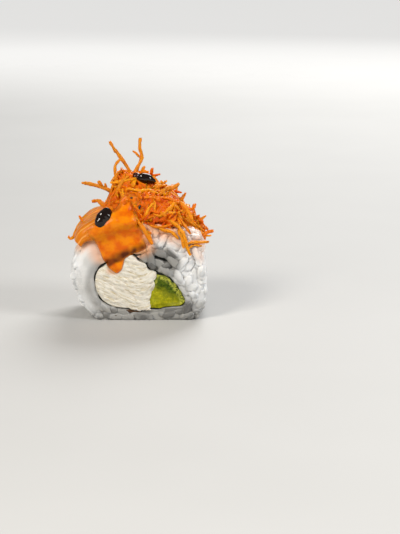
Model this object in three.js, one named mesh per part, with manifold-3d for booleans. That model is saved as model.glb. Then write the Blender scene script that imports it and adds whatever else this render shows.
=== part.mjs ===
// Uramaki roll: one cut piece of an inside-out rice roll. A seaweed sheet winds inwards through
// the rice round a filling of cream cheese and avocado. A slice of salmon lies over one shoulder,
// a heap of crisp carrot strands covers the top, and two beads of dark sauce rest on it.
// Millimetres, +Z up. The cut face looks along -Y, and the flat underside lies at z = 0.
import * as THREE from 'three';
import { mergeVertices } from 'three/addons/utils/BufferGeometryUtils.js';
import Module from 'manifold-3d';

const wasm = await Module();
wasm.setup();

// Driving dimensions
const ROLL_DEPTH = 28;
const FRONT = -ROLL_DEPTH / 2;
const BACK = ROLL_DEPTH / 2;
const GAP = 0.3;
const GRAIN_BUMP = 0.5;
const GRAIN_WIDTH = 2.4;
const FOOT_ROUNDING = 0.06;
const NORI_THICKNESS = 0.5;
const FILLING_CROWN = 0.5;
const SALMON_THICKNESS = 3;
const SALMON_LOW = 25.2;
const SALMON_RIGHT = 1;
const STRAND_WIDTH = 1.7;

// Outer line of the rice on the cut face, from the flat underside up the right side, [x, z]
const RICE_LINE = [
  [-15.2, 0], [-4, 0], [8, 0], [20.3, 0], [22.3, 3.2], [23, 9.5], [22.7, 16], [21.4, 22.3],
  [18.6, 27.4], [14, 31], [8, 33], [0, 33.6], [-8.4, 33], [-15, 30.4], [-19.6, 26.4],
  [-22.1, 21.6], [-22.9, 16.4], [-22.3, 11.4], [-20.4, 7.1], [-17.8, 3.2],
];

// Middle line of the seaweed, from its outer end over the filling and round to its inner end
const NORI_LINE = [
  [10.8, 20.2], [5.8, 22.1], [1.2, 22.9], [-3.8, 22.2], [-9.8, 20.4], [-13.8, 17.6],
  [-15, 13.9], [-14.6, 10.2], [-12.7, 7], [-9, 5], [-3, 4.1], [4, 3.9], [10.5, 4.5],
  [14.9, 5.2], [15.7, 6.8], [14.5, 9.6], [12.5, 12.6], [9.7, 15], [6.4, 16.4], [3.6, 17.6],
  [2.5, 19.2],
];

// Share of the seaweed's length that lies over the tongue of rice inside the spiral
const TONGUE_SHARE = 0.135;

// Line between the cream cheese and the avocado, from the bottom up, [x, z]
const FILLING_SPLIT = [[4.7, 2], [3.4, 6.8], [3.6, 8.4], [4.9, 11.4], [5.4, 14.6], [5.6, 18]];

// Crest of the carrot heap seen from the front, from left to right, [x, z]
const HEAP_CREST = [
  [-17.5, 31], [-13, 36.5], [-9.2, 41], [-7, 44.6], [-3, 47.4], [0.6, 47], [3.4, 45.8],
  [6, 44], [9.6, 42.8], [12, 40.4], [15.2, 37.4], [18.6, 33.6], [21.2, 29.8], [22.6, 27],
];
const HEAP_BUMP = 0.8;
const HEAP_ROOT = 2;
const HEAP_RIM = 0.5;
const HEAP_LOW = 24.5;

// Strands that stand out of the heap, each from its free end down into the heap
const LONG_STRANDS = [
  [[-9.8, -2, 59.9], [-6.6, -1, 54.6], [-2.2, 0, 44]],
  [[-6.5, -3, 53.5], [-8.1, -4, 50], [-6.2, -4, 41]],
  [[0.4, 2, 60.8], [0.7, 2, 54], [-1.6, 1, 44]],
  [[-20, 4, 44.5], [-13.7, 2, 44], [-5, 0, 41]],
  [[-16.5, 2, 39.6], [-11, 1, 39.4], [-4, 0, 39]],
  [[-25.2, 8, 26.4], [-23.6, 8.4, 29], [-18.4, 7.4, 35.4], [-13, 6, 38.6], [-6, 4, 40]],
  [[13.8, -2, 45.3], [10.6, -4, 44], [2, -7, 40]],
  [[25.9, -4, 29.6], [22.6, -4.4, 29.2], [14, -5, 34]],
  [[24, -9, 27.6], [21.4, -9.4, 29], [13, -8, 35]],
];

// Dark sauce beads: centre, half lengths and lean round the Y axis
const SAUCE_BEADS = [
  { name: 'dark_sauce_left', centre: [-12, -15.9, 36.2], half: [2.3, 1.8, 3.3], lean: 0.7 },
  { name: 'dark_sauce_top', centre: [2.1, -4, 47.4], half: [3, 2.5, 1.8], lean: 0.3 },
];

// Soft repeatable unevenness between -1 and 1
function unevenness(a, b) {
  const long = Math.sin(a * 1.7 + 1.3 * Math.sin(b * 1.1 + 0.4));
  const short = Math.sin(b * 2.3 + 1.1 * Math.sin(a * 1.9 + 2));
  return 0.5 * (long + short);
}

// Points evenly spaced along a smooth line through [x, z] pairs
function smoothLine(pairs, count, closed) {
  const places = pairs.map(([x, z]) => new THREE.Vector3(x, 0, z));
  const curve = new THREE.CatmullRomCurve3(places, closed, 'centripetal');
  const points = curve.getSpacedPoints(count);
  if (closed) {
    points.pop();
  }
  return points.map((point) => new THREE.Vector2(point.x, point.z));
}

// Unit vectors to the right of the direction of travel at each point of a line
function sideVectors(line, closed) {
  const last = line.length - 1;
  return line.map((point, i) => {
    const before = line[closed ? (i + last) % line.length : Math.max(i - 1, 0)];
    const after = line[closed ? (i + 1) % line.length : Math.min(i + 1, last)];
    const along = after.clone().sub(before).normalize();
    return new THREE.Vector2(along.y, -along.x);
  });
}

// The same line moved to the right of travel, or to the left where the distance is negative
function movedLine(line, distance, closed = false) {
  const sides = sideVectors(line, closed);
  return line.map((point, i) => point.clone().addScaledVector(sides[i], distance));
}

function geometryFrom(positions, indices) {
  const geometry = new THREE.BufferGeometry();
  geometry.setAttribute('position', new THREE.Float32BufferAttribute(positions, 3));
  geometry.setIndex(indices);
  return geometry;
}

// Walls between rings that lie one behind the other and turn left seen from the front
function wallIndices(first, ringLength, rings) {
  const indices = [];
  for (let k = 0; k < rings - 1; k++) {
    for (let i = 0; i < ringLength; i++) {
      const a = first + k * ringLength + i;
      const b = first + k * ringLength + (i + 1) % ringLength;
      indices.push(a, a + ringLength, b, b, a + ringLength, b + ringLength);
    }
  }
  return indices;
}

// A flat face between an outline and its hole, turned to look forwards or backwards
function piercedFace(outline, hole, outlineStart, holeStart, looksForward) {
  const flat = [...outline, ...hole];
  const indices = [];
  const vertex = (index) =>
    (index < outline.length ? outlineStart + index : holeStart + index - outline.length);
  for (const face of THREE.ShapeUtils.triangulateShape(outline, [hole])) {
    const turnsLeft = THREE.ShapeUtils.area(face.map((index) => flat[index])) > 0;
    const [a, b, c] = turnsLeft === looksForward ? face : [face[0], face[2], face[1]];
    indices.push(vertex(a), vertex(b), vertex(c));
  }
  return indices;
}

// A prism along Y from an outline with a hole, its outer wall shaped point by point
function piercedPrism(outline, hole, depths, shaped) {
  const sides = sideVectors(outline, true);
  const rings = depths.map((y) => outline.map((point, i) => shaped(point, sides[i], i, y)));
  const positions = [];
  rings.forEach((ring, k) => ring.forEach((point) => positions.push(point.x, depths[k], point.y)));
  const lastRing = rings.length - 1;
  const holeStart = outline.length * rings.length;
  for (const y of [depths[0], depths[lastRing]]) {
    hole.forEach((point) => positions.push(point.x, y, point.y));
  }
  return geometryFrom(positions, [
    ...wallIndices(0, outline.length, rings.length),
    ...wallIndices(holeStart, hole.length, 2),
    ...piercedFace(rings[0], hole, 0, holeStart, true),
    ...piercedFace(rings[lastRing], hole, outline.length * lastRing, holeStart + hole.length, false),
  ]);
}

// A closed line run through the roll as a solid, with lightly crowned cut ends
function crownedPrism(outline, crown) {
  const centre = new THREE.Vector2();
  outline.forEach((point) => centre.add(point));
  centre.divideScalar(outline.length);
  const scales = [0.35, 0.7, 1];
  const rings = [];
  const addRing = (scale, end) => {
    rings.push(outline.map((point) => {
      const place = centre.clone().lerp(point, scale);
      const rise = crown * (1 - scale) * (1 + 0.5 * unevenness(place.x / 2, place.y / 2));
      return [place.x, end * (ROLL_DEPTH / 2 + rise), place.y];
    }));
  };
  scales.forEach((scale) => addRing(scale, -1));
  [...scales].reverse().forEach((scale) => addRing(scale, 1));
  const positions = rings.flat(2);
  const indices = wallIndices(0, outline.length, rings.length);
  for (const end of [-1, 1]) {
    const tip = positions.length / 3;
    const ring = end < 0 ? 0 : (rings.length - 1) * outline.length;
    positions.push(centre.x, end * (ROLL_DEPTH / 2 + crown), centre.y);
    for (let i = 0; i < outline.length; i++) {
      const a = ring + i;
      const b = ring + (i + 1) % outline.length;
      indices.push(...(end < 0 ? [tip, a, b] : [tip, b, a]));
    }
  }
  return geometryFrom(positions, indices);
}

// A plain prism along Y from an outline
function plainPrism(outline, front, back) {
  const settings = { depth: back - front, bevelEnabled: false };
  const geometry = new THREE.ExtrudeGeometry(new THREE.Shape(outline), settings);
  geometry.rotateX(Math.PI / 2);
  geometry.translate(0, back, 0);
  return geometry;
}

// A closed sheet from rows of outer points and the inner points below them
function closedSheet(outer, inner) {
  const rows = outer.length;
  const columns = outer[0].length;
  const positions = [...outer.flat(2), ...inner.flat(2)];
  const at = (row, column, side) => side * rows * columns + row * columns + column;
  const indices = [];
  const quad = (a, b, c, d) => indices.push(a, b, c, a, c, d);
  for (let r = 0; r < rows - 1; r++) {
    for (let c = 0; c < columns - 1; c++) {
      quad(at(r, c, 0), at(r, c + 1, 0), at(r + 1, c + 1, 0), at(r + 1, c, 0));
      quad(at(r, c, 1), at(r + 1, c, 1), at(r + 1, c + 1, 1), at(r, c + 1, 1));
    }
    const end = columns - 1;
    quad(at(r, 0, 1), at(r, 0, 0), at(r + 1, 0, 0), at(r + 1, 0, 1));
    quad(at(r, end, 0), at(r, end, 1), at(r + 1, end, 1), at(r + 1, end, 0));
  }
  const end = rows - 1;
  for (let c = 0; c < columns - 1; c++) {
    quad(at(0, c, 0), at(0, c, 1), at(0, c + 1, 1), at(0, c + 1, 0));
    quad(at(end, c, 1), at(end, c, 0), at(end, c + 1, 0), at(end, c + 1, 1));
  }
  return geometryFrom(positions, indices);
}

// Solids for cutting and joining
function solidFrom(geometry) {
  const bare = geometry.clone();
  bare.deleteAttribute('normal');
  bare.deleteAttribute('uv');
  const merged = mergeVertices(bare, 1e-4);
  return new wasm.Manifold(new wasm.Mesh({
    numProp: 3,
    vertProperties: new Float32Array(merged.attributes.position.array),
    triVerts: new Uint32Array(merged.index.array),
  }));
}

function geometryOf(solid) {
  const mesh = solid.getMesh();
  return geometryFrom(Array.from(mesh.vertProperties), Array.from(mesh.triVerts));
}

// Rice: a band of grains round the seaweed, with a tongue of rice inside the spiral
const riceLine = smoothLine(RICE_LINE, 96, true);
const noriLine = smoothLine(NORI_LINE, 64, false);
const tongueStep = Math.round(TONGUE_SHARE * (noriLine.length - 1));

function riceGeometry() {
  const clearance = NORI_THICKNESS / 2 + GAP;
  const outside = movedLine(noriLine, clearance);
  const underFirstTurn = movedLine(noriLine, -clearance).slice(0, tongueStep + 1);
  const hole = [...underFirstTurn, ...outside.reverse()];
  const slices = 9;
  const depths = Array.from({ length: slices + 1 }, (_, k) => FRONT + ROLL_DEPTH * k / slices);
  const shaped = (point, side, i, y) => {
    const offTheTable = THREE.MathUtils.smoothstep(point.y, 0, 2.5);
    const bump = GRAIN_BUMP * offTheTable * unevenness(i * 1.9, y / GRAIN_WIDTH);
    const narrowing = FOOT_ROUNDING * (1 - offTheTable) * (2 * y / ROLL_DEPTH) ** 2;
    const moved = point.clone().addScaledVector(side, bump);
    return new THREE.Vector2(moved.x * (1 - narrowing), Math.max(moved.y, 0));
  };
  return piercedPrism(riceLine, hole, depths, shaped);
}

// Seaweed: one thin sheet from its outer end to its inner end
function noriGeometry() {
  const half = NORI_THICKNESS / 2;
  const outline = [...movedLine(noriLine, half), ...movedLine(noriLine, -half).reverse()];
  return plainPrism(outline, FRONT, BACK);
}

// Filling: the room inside the seaweed, shared between cream cheese and avocado
function fillingSolids() {
  const room = movedLine(noriLine, -(NORI_THICKNESS / 2 + GAP)).slice(tongueStep + 1);
  const whole = solidFrom(crownedPrism(room, FILLING_CROWN));
  const split = smoothLine(FILLING_SPLIT, 12, false);
  const margin = 30;
  const rightOf = (line) => {
    const outline = [
      ...line,
      new THREE.Vector2(margin, line[line.length - 1].y),
      new THREE.Vector2(margin, line[0].y),
    ].reverse();
    return solidFrom(plainPrism(outline, FRONT - margin, BACK + margin));
  };
  return {
    creamCheese: whole.subtract(rightOf(movedLine(split, -GAP / 2))),
    avocado: whole.intersect(rightOf(movedLine(split, GAP / 2))),
  };
}

// Salmon: a slice that lies over the left shoulder and folds down over the cut face
function salmonGeometry(grow) {
  const line = riceLine.filter((point) => point.y > SALMON_LOW && point.x < SALMON_RIGHT);
  const sides = sideVectors(line, false);
  const clearance = GRAIN_BUMP + 2 * GAP - grow;
  const foldRadius = 1.1;
  const foldStart = FRONT - GAP + foldRadius;
  const flatSteps = 7;
  const foldSteps = 4;
  const hangSteps = 2;
  const outer = [];
  const inner = [];
  line.forEach((base, row) => {
    const along = row / (line.length - 1);
    const backEdge = BACK - 0.6 + 0.5 * Math.sin(along * 9) + grow;
    const hang = 0.4 + 2.6 * Math.sin(Math.PI * Math.min(along * 1.05, 1)) + grow;
    const endTaper = 1 - 0.45 * Math.abs(2 * along - 1) ** 5;
    const place = (y, lift) => [base.x + sides[row].x * lift, y, base.y + sides[row].y * lift];
    const outerRow = [];
    const innerRow = [];
    const addPair = (y, lift, normalY, normalLift, thickness) => {
      const full = thickness * endTaper + 2 * grow;
      innerRow.push(place(y, lift));
      outerRow.push(place(y + normalY * full, lift + normalLift * full));
    };
    for (let k = 0; k < flatSteps; k++) {
      const y = THREE.MathUtils.lerp(backEdge, foldStart, k / flatSteps);
      const wave = 1 + 0.08 * unevenness(along * 6, y / 4);
      addPair(y, clearance, 0, 1, SALMON_THICKNESS * wave);
    }
    for (let k = 0; k <= foldSteps; k++) {
      const angle = (Math.PI / 2) * k / foldSteps;
      const thickness = THREE.MathUtils.lerp(SALMON_THICKNESS, 1.9, k / foldSteps);
      const [across, up] = [Math.sin(angle), Math.cos(angle)];
      const y = foldStart - (foldRadius - grow) * across;
      addPair(y, clearance - foldRadius + foldRadius * up, -across, up, thickness);
    }
    for (let k = 1; k <= hangSteps; k++) {
      const lift = clearance - foldRadius - hang * k / hangSteps;
      const thickness = THREE.MathUtils.lerp(1.9, 1.2, k / hangSteps);
      addPair(foldStart - foldRadius + grow, lift, -1, 0, thickness);
    }
    outer.push(outerRow);
    inner.push(innerRow);
  });
  return closedSheet(outer.reverse(), inner.reverse());
}

// Height of the rice's upper surface at a place across the roll
function roofHeight(x) {
  const roof = riceLine.filter((point) => point.y > 16).sort((a, b) => a.x - b.x);
  const right = roof.findIndex((point) => point.x > x);
  if (right < 1) {
    return roof[right < 0 ? roof.length - 1 : 0].y;
  }
  const [a, b] = [roof[right - 1], roof[right]];
  return THREE.MathUtils.lerp(a.y, b.y, (x - a.x) / (b.x - a.x));
}

// One crisp strand: a six-sided bar along a bent path
function strandGeometry(ends) {
  const path = new THREE.CatmullRomCurve3(ends.map((place) => new THREE.Vector3(...place)));
  const section = new THREE.Shape();
  const sides = 6;
  for (let k = 0; k < sides; k++) {
    const angle = 2 * Math.PI * k / sides;
    const corner = [Math.cos(angle) * STRAND_WIDTH / 2, Math.sin(angle) * STRAND_WIDTH / 2];
    if (k === 0) {
      section.moveTo(...corner);
    } else {
      section.lineTo(...corner);
    }
  }
  const settings = { steps: 7, extrudePath: path, bevelEnabled: false };
  return new THREE.ExtrudeGeometry(section, settings);
}

// Carrot heap: a lumpy dome on the roll with its longest strands, cut clear of what it lies on
function heapSolid(cutters) {
  const crest = smoothLine(HEAP_CREST, 22, false);
  const rows = 14;
  const outer = [];
  const inner = [];
  crest.forEach((top, column) => {
    const floor = roofHeight(top.x);
    const outerRow = [];
    const innerRow = [];
    for (let k = 0; k <= rows; k++) {
      const across = 1 - 2 * k / rows;
      const share = (1 - Math.abs(across) ** 2.6) ** 0.6;
      const bump = HEAP_BUMP * share * unevenness(column * 1.3, k * 0.9);
      const height = floor + (top.y - floor) * share + bump;
      outerRow.push([top.x, across * BACK, Math.max(height, floor, HEAP_LOW + HEAP_RIM)]);
      innerRow.push([top.x, across * BACK, Math.max(floor, HEAP_LOW + HEAP_ROOT) - HEAP_ROOT]);
    }
    outer.push(outerRow);
    inner.push(innerRow);
  });
  let heap = solidFrom(closedSheet(outer, inner));
  for (const ends of LONG_STRANDS) {
    heap = heap.add(solidFrom(strandGeometry(ends)));
  }
  for (const cutter of cutters) {
    heap = heap.subtract(cutter);
  }
  const bodies = heap.decompose();
  return bodies.sort((a, b) => b.volume() - a.volume())[0];
}

// Dark sauce: a smooth oval bead
function beadGeometry(bead, grow) {
  const geometry = new THREE.SphereGeometry(1, 16, 10);
  geometry.scale(...bead.half.map((half) => half + grow));
  geometry.rotateY(bead.lean);
  geometry.translate(...bead.centre);
  return geometry;
}

function finish(color, roughness) {
  return new THREE.MeshStandardMaterial({ color, roughness, metalness: 0 });
}

function addPiece(group, name, geometry, material) {
  geometry.computeVertexNormals();
  const piece = new THREE.Mesh(geometry, material);
  piece.name = name;
  group.add(piece);
}

// Assembly
const roll = new THREE.Group();
const filling = fillingSolids();
const clearOfRoll = solidFrom(
  plainPrism(movedLine(riceLine, GRAIN_BUMP + GAP, true), FRONT - GAP, BACK + GAP));
const clearOfSalmon = solidFrom(salmonGeometry(GAP));
const clearOfBeads = SAUCE_BEADS.map((bead) => solidFrom(beadGeometry(bead, GAP)));
const heap = heapSolid([clearOfRoll, clearOfSalmon, ...clearOfBeads]);
const salmon = solidFrom(salmonGeometry(0)).subtract(clearOfBeads[0]);

addPiece(roll, 'rice', riceGeometry(), finish('#e9e9e6', 0.45));
addPiece(roll, 'nori', noriGeometry(), finish('#12150f', 0.6));
addPiece(roll, 'cream_cheese', geometryOf(filling.creamCheese), finish('#efe8d6', 0.55));
addPiece(roll, 'avocado', geometryOf(filling.avocado), finish('#93a01c', 0.4));
addPiece(roll, 'salmon', geometryOf(salmon), finish('#e8853f', 0.3));
addPiece(roll, 'carrot_heap', geometryOf(heap), finish('#e2720c', 0.5));
SAUCE_BEADS.forEach((bead) => {
  addPiece(roll, bead.name, beadGeometry(bead, 0), finish('#190c07', 0.08));
});

export default roll;
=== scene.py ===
# %% [markdown]
# # A cut piece of uramaki roll
# An uramaki roll is wound inside out: the rice is the outside, and a thin seaweed sheet winds
# inwards through it round a filling. This one holds cream cheese and avocado, wears a slice of
# salmon on one shoulder, and carries a heap of crisp fried carrot strands under a warm orange
# sauce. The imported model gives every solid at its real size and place. This lesson gives each
# of them the surface that the real food has, and starts by loading that model.

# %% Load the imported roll
import itertools
import math

import bmesh
import bpy
import numpy as np
from mathutils import Matrix, Vector
from mathutils.bvhtree import BVHTree
from mathutils.geometry import delaunay_2d_cdt
from mathutils.kdtree import KDTree


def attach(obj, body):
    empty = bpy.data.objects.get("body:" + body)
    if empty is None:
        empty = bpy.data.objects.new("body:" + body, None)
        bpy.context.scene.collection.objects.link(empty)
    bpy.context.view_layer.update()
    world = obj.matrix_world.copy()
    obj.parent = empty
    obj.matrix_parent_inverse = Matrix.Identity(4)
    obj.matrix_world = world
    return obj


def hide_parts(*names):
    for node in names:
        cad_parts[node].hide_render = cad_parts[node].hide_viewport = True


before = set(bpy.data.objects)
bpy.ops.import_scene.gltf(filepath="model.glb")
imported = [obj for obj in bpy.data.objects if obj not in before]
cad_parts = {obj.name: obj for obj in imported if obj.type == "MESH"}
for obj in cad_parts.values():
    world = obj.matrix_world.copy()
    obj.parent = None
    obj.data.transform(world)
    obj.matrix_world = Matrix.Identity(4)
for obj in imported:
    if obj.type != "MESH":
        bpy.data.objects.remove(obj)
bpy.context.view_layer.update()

# %% [markdown]
# ## The camera
# The photograph looks at the cut face from a little above, through a long lens that keeps the
# roll's sides almost parallel. The camera stands that far away, and its lens is worked out so
# that one pixel of the frame covers as many millimetres of the cut face as in the photograph.

# %% Camera
MM = 0.001  # one millimetre in metres
FRAME_HEIGHT = 534  # pixels, the frame's longer side
MM_PER_PIXEL = 0.34
CAMERA_DISTANCE = 600 * MM
CAMERA_ELEVATION = math.radians(12)
CAMERA_TARGET = Vector((21.0, 0, 15.6)) * MM
HALF_DEPTH = 14  # mm from the middle of the roll to each cut face
SENSOR = 36  # mm, along the frame's longer side


def new_object(name, data):
    """An object that holds the data and is linked to the scene."""
    thing = bpy.data.objects.new(name, data)
    bpy.context.scene.collection.objects.link(thing)
    return thing


camera = new_object("camera", bpy.data.cameras.new("camera"))
bpy.context.scene.camera = camera
away = Vector((0, -math.cos(CAMERA_ELEVATION), math.sin(CAMERA_ELEVATION)))
camera.location = CAMERA_TARGET + away * CAMERA_DISTANCE
camera.rotation_euler = (-away).to_track_quat("-Z", "Y").to_euler()
face_distance = CAMERA_DISTANCE - HALF_DEPTH * MM
camera.data.lens = SENSOR * face_distance / (FRAME_HEIGHT * MM_PER_PIXEL * MM)
camera.data.clip_start = 0.01
print("lens in mm:", round(camera.data.lens, 1))

# %% [markdown]
# ## Small helpers
# A handful of helpers serve every piece: one turns a given colour into the linear values that a
# shader wants, one adds a node with its settings and links, and one makes soft random lumps of a
# chosen size in millimetres.

# %% Colour, nodes and soft noise
def linear(hex_colour):
    """An sRGB hex colour as linear red, green, blue and alpha."""
    parts = [int(hex_colour[i:i + 2], 16) / 255 for i in (1, 3, 5)]
    return [p / 12.92 if p <= 0.04045 else ((p + 0.055) / 1.055) ** 2.4 for p in parts] + [1]


def find_socket(sockets, name):
    """The socket of that name that is in use, or the socket at that place."""
    if isinstance(name, int):
        return sockets[name]
    return next(s for s in sockets if s.name == name and s.enabled)


def add_node(tree, kind, inputs=None, result=None, **settings):
    """Adds a node, makes its settings, then links or fills its inputs.

    Gives back the node, or the output that result names."""
    node = tree.nodes.new(kind)
    for name, value in settings.items():
        setattr(node, name, value)
    for name, value in (inputs or {}).items():
        socket = find_socket(node.inputs, name)
        if isinstance(value, bpy.types.NodeSocket):
            tree.links.new(value, socket)
        else:
            socket.default_value = value
    return node if result is None else find_socket(node.outputs, result)


NOISE_CELLS = 32  # the random table repeats after this many lumps


def soft_noise(points, size, seed=1):
    """Smooth random values between -1 and 1 at points in mm, with lumps about size mm wide."""
    table = np.random.default_rng(seed).uniform(-1, 1, (NOISE_CELLS,) * 3)
    place = np.asarray(points, float) / size
    cell = np.floor(place).astype(int)
    share = place - cell
    share = share * share * (3 - 2 * share)
    total = np.zeros(len(place))
    for corner in itertools.product((0, 1), repeat=3):
        weight = np.prod(np.where(corner, share, 1 - share), axis=1)
        total += weight * table[tuple(((cell + corner) % NOISE_CELLS).T)]
    return total


def smooth_step(low, high, value):
    """0 below low, 1 above high, and a soft change between them."""
    share = np.clip((np.asarray(value, float) - low) / (high - low), 0, 1)
    return share * share * (3 - 2 * share)


print("helpers ready; a mid grey is", round(linear("#808080")[0], 3), "in linear light")

# %% [markdown]
# ## Meshes from millimetres
# Each piece's points are worked out in millimetres, since those are a cook's sizes, and stored
# in metres with the object at the origin. Values that a material needs at each point, such as
# how much sauce has soaked in, are stored as attributes of the mesh.

# %% Mesh and piece helpers
def new_piece(name, points, faces, material=None, edges=(), **attributes):
    """A mesh object from points in mm, with one number or vector stored for each point."""
    mesh = bpy.data.meshes.new(name)
    scaled = (np.asarray(points, float) * MM).tolist()
    mesh.from_pydata(scaled, list(edges), [list(map(int, face)) for face in faces])
    for label, values in attributes.items():
        values = np.asarray(values, np.float32)
        kind, field = ("FLOAT", "value") if values.ndim == 1 else ("FLOAT_VECTOR", "vector")
        mesh.attributes.new(label, kind, "POINT").data.foreach_set(field, values.ravel())
    mesh.shade_smooth()
    if material:
        mesh.materials.append(material)
    return new_object(name, mesh)


def clear_away(*helpers):
    """Removes objects that were needed only on the way to a piece."""
    for helper in helpers:
        bpy.data.objects.remove(helper)


def points_of(mesh):
    """The points of a mesh, in mm."""
    flat = np.empty(len(mesh.vertices) * 3)
    mesh.vertices.foreach_get("co", flat)
    return flat.reshape(-1, 3) / MM


def serve(piece, slot, *nodes):
    """Hangs a finished piece under the root body and hides the imported nodes that it stands for.

    slot is not used.
    """
    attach(piece, "root")
    if nodes:
        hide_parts(*nodes)
    print(piece.name, "has", len(piece.data.polygons), "faces")
    return piece


# %% Running a node tree
def finished_mesh(thing):
    """A plain mesh of an object with its modifiers applied."""
    graph = bpy.context.evaluated_depsgraph_get()
    return bpy.data.meshes.new_from_object(
        thing.evaluated_get(graph), preserve_all_data_layers=True, depsgraph=graph)


def run_tree(source, tree, name, keep_source=False, **sizes):
    """Runs a node tree on an object and returns the result as a plain mesh piece."""
    modifier = source.modifiers.new(tree.name, "NODES")
    modifier.node_group = tree
    for socket in tree.interface.items_tree:
        if socket.in_out == "INPUT" and socket.name in sizes:
            modifier[socket.identifier] = sizes[socket.name]
    mesh = finished_mesh(source)
    source.modifiers.remove(modifier)
    if not keep_source:
        clear_away(source)
    mesh.name = name
    return new_object(name, mesh)


def new_tree(name, **inputs):
    """An empty geometry node tree with named inputs, as (tree, input node, output node)."""
    tree = bpy.data.node_groups.new(name, "GeometryNodeTree")
    tree.interface.new_socket("Geometry", in_out="INPUT", socket_type="NodeSocketGeometry")
    for label, value in inputs.items():
        kind = {float: "Float", int: "Int", str: value}[type(value)]
        socket = tree.interface.new_socket(
            label, in_out="INPUT", socket_type="NodeSocket" + str(kind))
        if not isinstance(value, str):
            socket.default_value = value
    tree.interface.new_socket("Geometry", in_out="OUTPUT", socket_type="NodeSocketGeometry")
    return tree, tree.nodes.new("NodeGroupInput"), tree.nodes.new("NodeGroupOutput")


# %% [markdown]
# ## Food that holds together
# Rice grains stick to each other, cheese tears into flakes that stay joined, and fried strands mat
# together in their sauce. Loose copies would look like beads in a box, so after laying out the
# single pieces the lesson merges them: the skin round all of them is rebuilt in even small
# squares, and a little smoothing rounds the seams. Colours darken with how deep a spot lies, as
# painted shade in the gaps.

# %% Merging, easing and hollows
SAME_PLACE = 1e-7  # points nearer than this, in metres, are one point


def even_squares(name, *meshes, square, rounds):
    """The outer skin of meshes, rebuilt in even squares so many mm wide and smoothed.

    Gives back its points in mm, its faces and its normals."""
    mesh = bmesh.new()
    for source in meshes:
        mesh.from_mesh(source)
    bmesh.ops.remove_doubles(mesh, verts=mesh.verts, dist=SAME_PLACE)
    data = bpy.data.meshes.new(name)
    mesh.to_mesh(data)
    mesh.free()
    copy = new_object(name, data)
    squares = copy.modifiers.new("squares", "REMESH")
    squares.mode, squares.voxel_size = "VOXEL", square * MM
    softer = copy.modifiers.new("softer", "SMOOTH")
    softer.factor, softer.iterations = 0.5, rounds
    even = finished_mesh(copy)
    clear_away(copy)
    points = points_of(even)
    faces = np.array([tuple(face.vertices) for face in even.polygons])
    normals = np.array([tuple(v.normal) for v in even.vertices])
    bpy.data.meshes.remove(even)
    return points, faces, normals


def eased(values, faces, rounds):
    """Values averaged with those of the points that share an edge, some rounds long."""
    after = np.roll(faces, -1, axis=1)
    edges = np.vstack([np.column_stack([faces[:, k], after[:, k]]) for k in range(faces.shape[1])])
    edges = np.vstack([edges, edges[:, ::-1]])
    count = np.bincount(edges[:, 0], minlength=len(values))[:, None]
    for _ in range(rounds):
        total = np.column_stack([
            np.bincount(edges[:, 0], column[edges[:, 1]], len(values)) for column in values.T])
        values = (values + total / count) / 2
    return values


def hollows(points, faces, normals, rounds):
    """How far each point lies below its surroundings, in mm: positive in the gaps."""
    return np.sum((eased(points, faces, rounds) - points) * normals, axis=1)


def values_of(mesh, name):
    """The numbers that a mesh stores at its points."""
    values = np.empty(len(mesh.vertices))
    mesh.attributes[name].data.foreach_get("value", values)
    return values


def nearest_values(points, mesh, name):
    """For each point, in mm, the number stored at the nearest point of a mesh."""
    sources, values = points_of(mesh), values_of(mesh, name)
    tree = KDTree(len(sources))
    for k, source in enumerate(sources):
        tree.insert(source, k)
    tree.balance()
    return np.array([values[tree.find(point)[1]] for point in points])


# %% [markdown]
# ## Outlines from the cut face
# The knife's cut shows where every layer lies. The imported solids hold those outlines: they are
# the edges where a node's flat front meets its walls. Walking along those edges gives each
# outline as an ordered line of points, anticlockwise outside and clockwise round a hole.

# %% Outlines of the layers
FRONT_NORMAL = -0.7  # faces whose normal points further forward lie on the cut
WALL_NORMAL = 0.4  # and those that point less far forward or back are walls


def cut_lines(node):
    """The outlines of a node on the cut face as arrays of x and z in mm, largest first."""
    mesh = bmesh.new()
    mesh.from_mesh(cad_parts[node].data)
    bmesh.ops.remove_doubles(mesh, verts=mesh.verts, dist=SAME_PLACE)
    following = {}
    for edge in mesh.edges:
        if len(edge.link_faces) != 2:
            continue
        first, second = sorted(edge.link_faces, key=lambda face: face.normal.y)
        if first.normal.y < FRONT_NORMAL and abs(second.normal.y) < WALL_NORMAL:
            loop = next(lp for lp in first.loops if lp.edge == edge)
            following[loop.vert] = loop.link_loop_next.vert
    lines = []
    while following:
        vert, after = following.popitem()
        line = [vert]
        while after in following:
            line.append(after)
            after = following.pop(after)
        lines.append(np.array([[v.co.x / MM, v.co.z / MM] for v in line]))
    mesh.free()
    return sorted(lines, key=lambda line: -abs(line_area(line)))


# %% Working with outlines
def line_area(line):
    """The area inside a closed line, positive where it runs anticlockwise."""
    x, z = line.T
    return 0.5 * np.sum(x * np.roll(z, -1) - z * np.roll(x, -1))


def resampled(line, spacing):
    """A closed line with evenly spaced points."""
    closed = np.vstack([line, line[:1]])
    travel = np.concatenate([[0], np.cumsum(np.linalg.norm(np.diff(closed, axis=0), axis=1))])
    places = np.linspace(0, travel[-1], max(8, round(travel[-1] / spacing)), endpoint=False)
    return np.column_stack([np.interp(places, travel, closed[:, k]) for k in (0, 1)])


def outward(line):
    """Unit vectors to the right of travel along a closed line."""
    along = np.roll(line, -1, axis=0) - np.roll(line, 1, axis=0)
    along /= np.linalg.norm(along, axis=1)[:, None]
    return np.column_stack([along[:, 1], -along[:, 0]])


def line_distance(points, line):
    """The distance from each point to the nearest stretch of a closed line."""
    start, step = line, np.roll(line, -1, axis=0) - line
    best = np.full(len(points), 1e9)
    for a, d in zip(start, step):
        share = np.clip((points - a) @ d / max(d @ d, 1e-12), 0, 1)
        best = np.minimum(best, np.linalg.norm(points - a - share[:, None] * d, axis=1))
    return best


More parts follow.
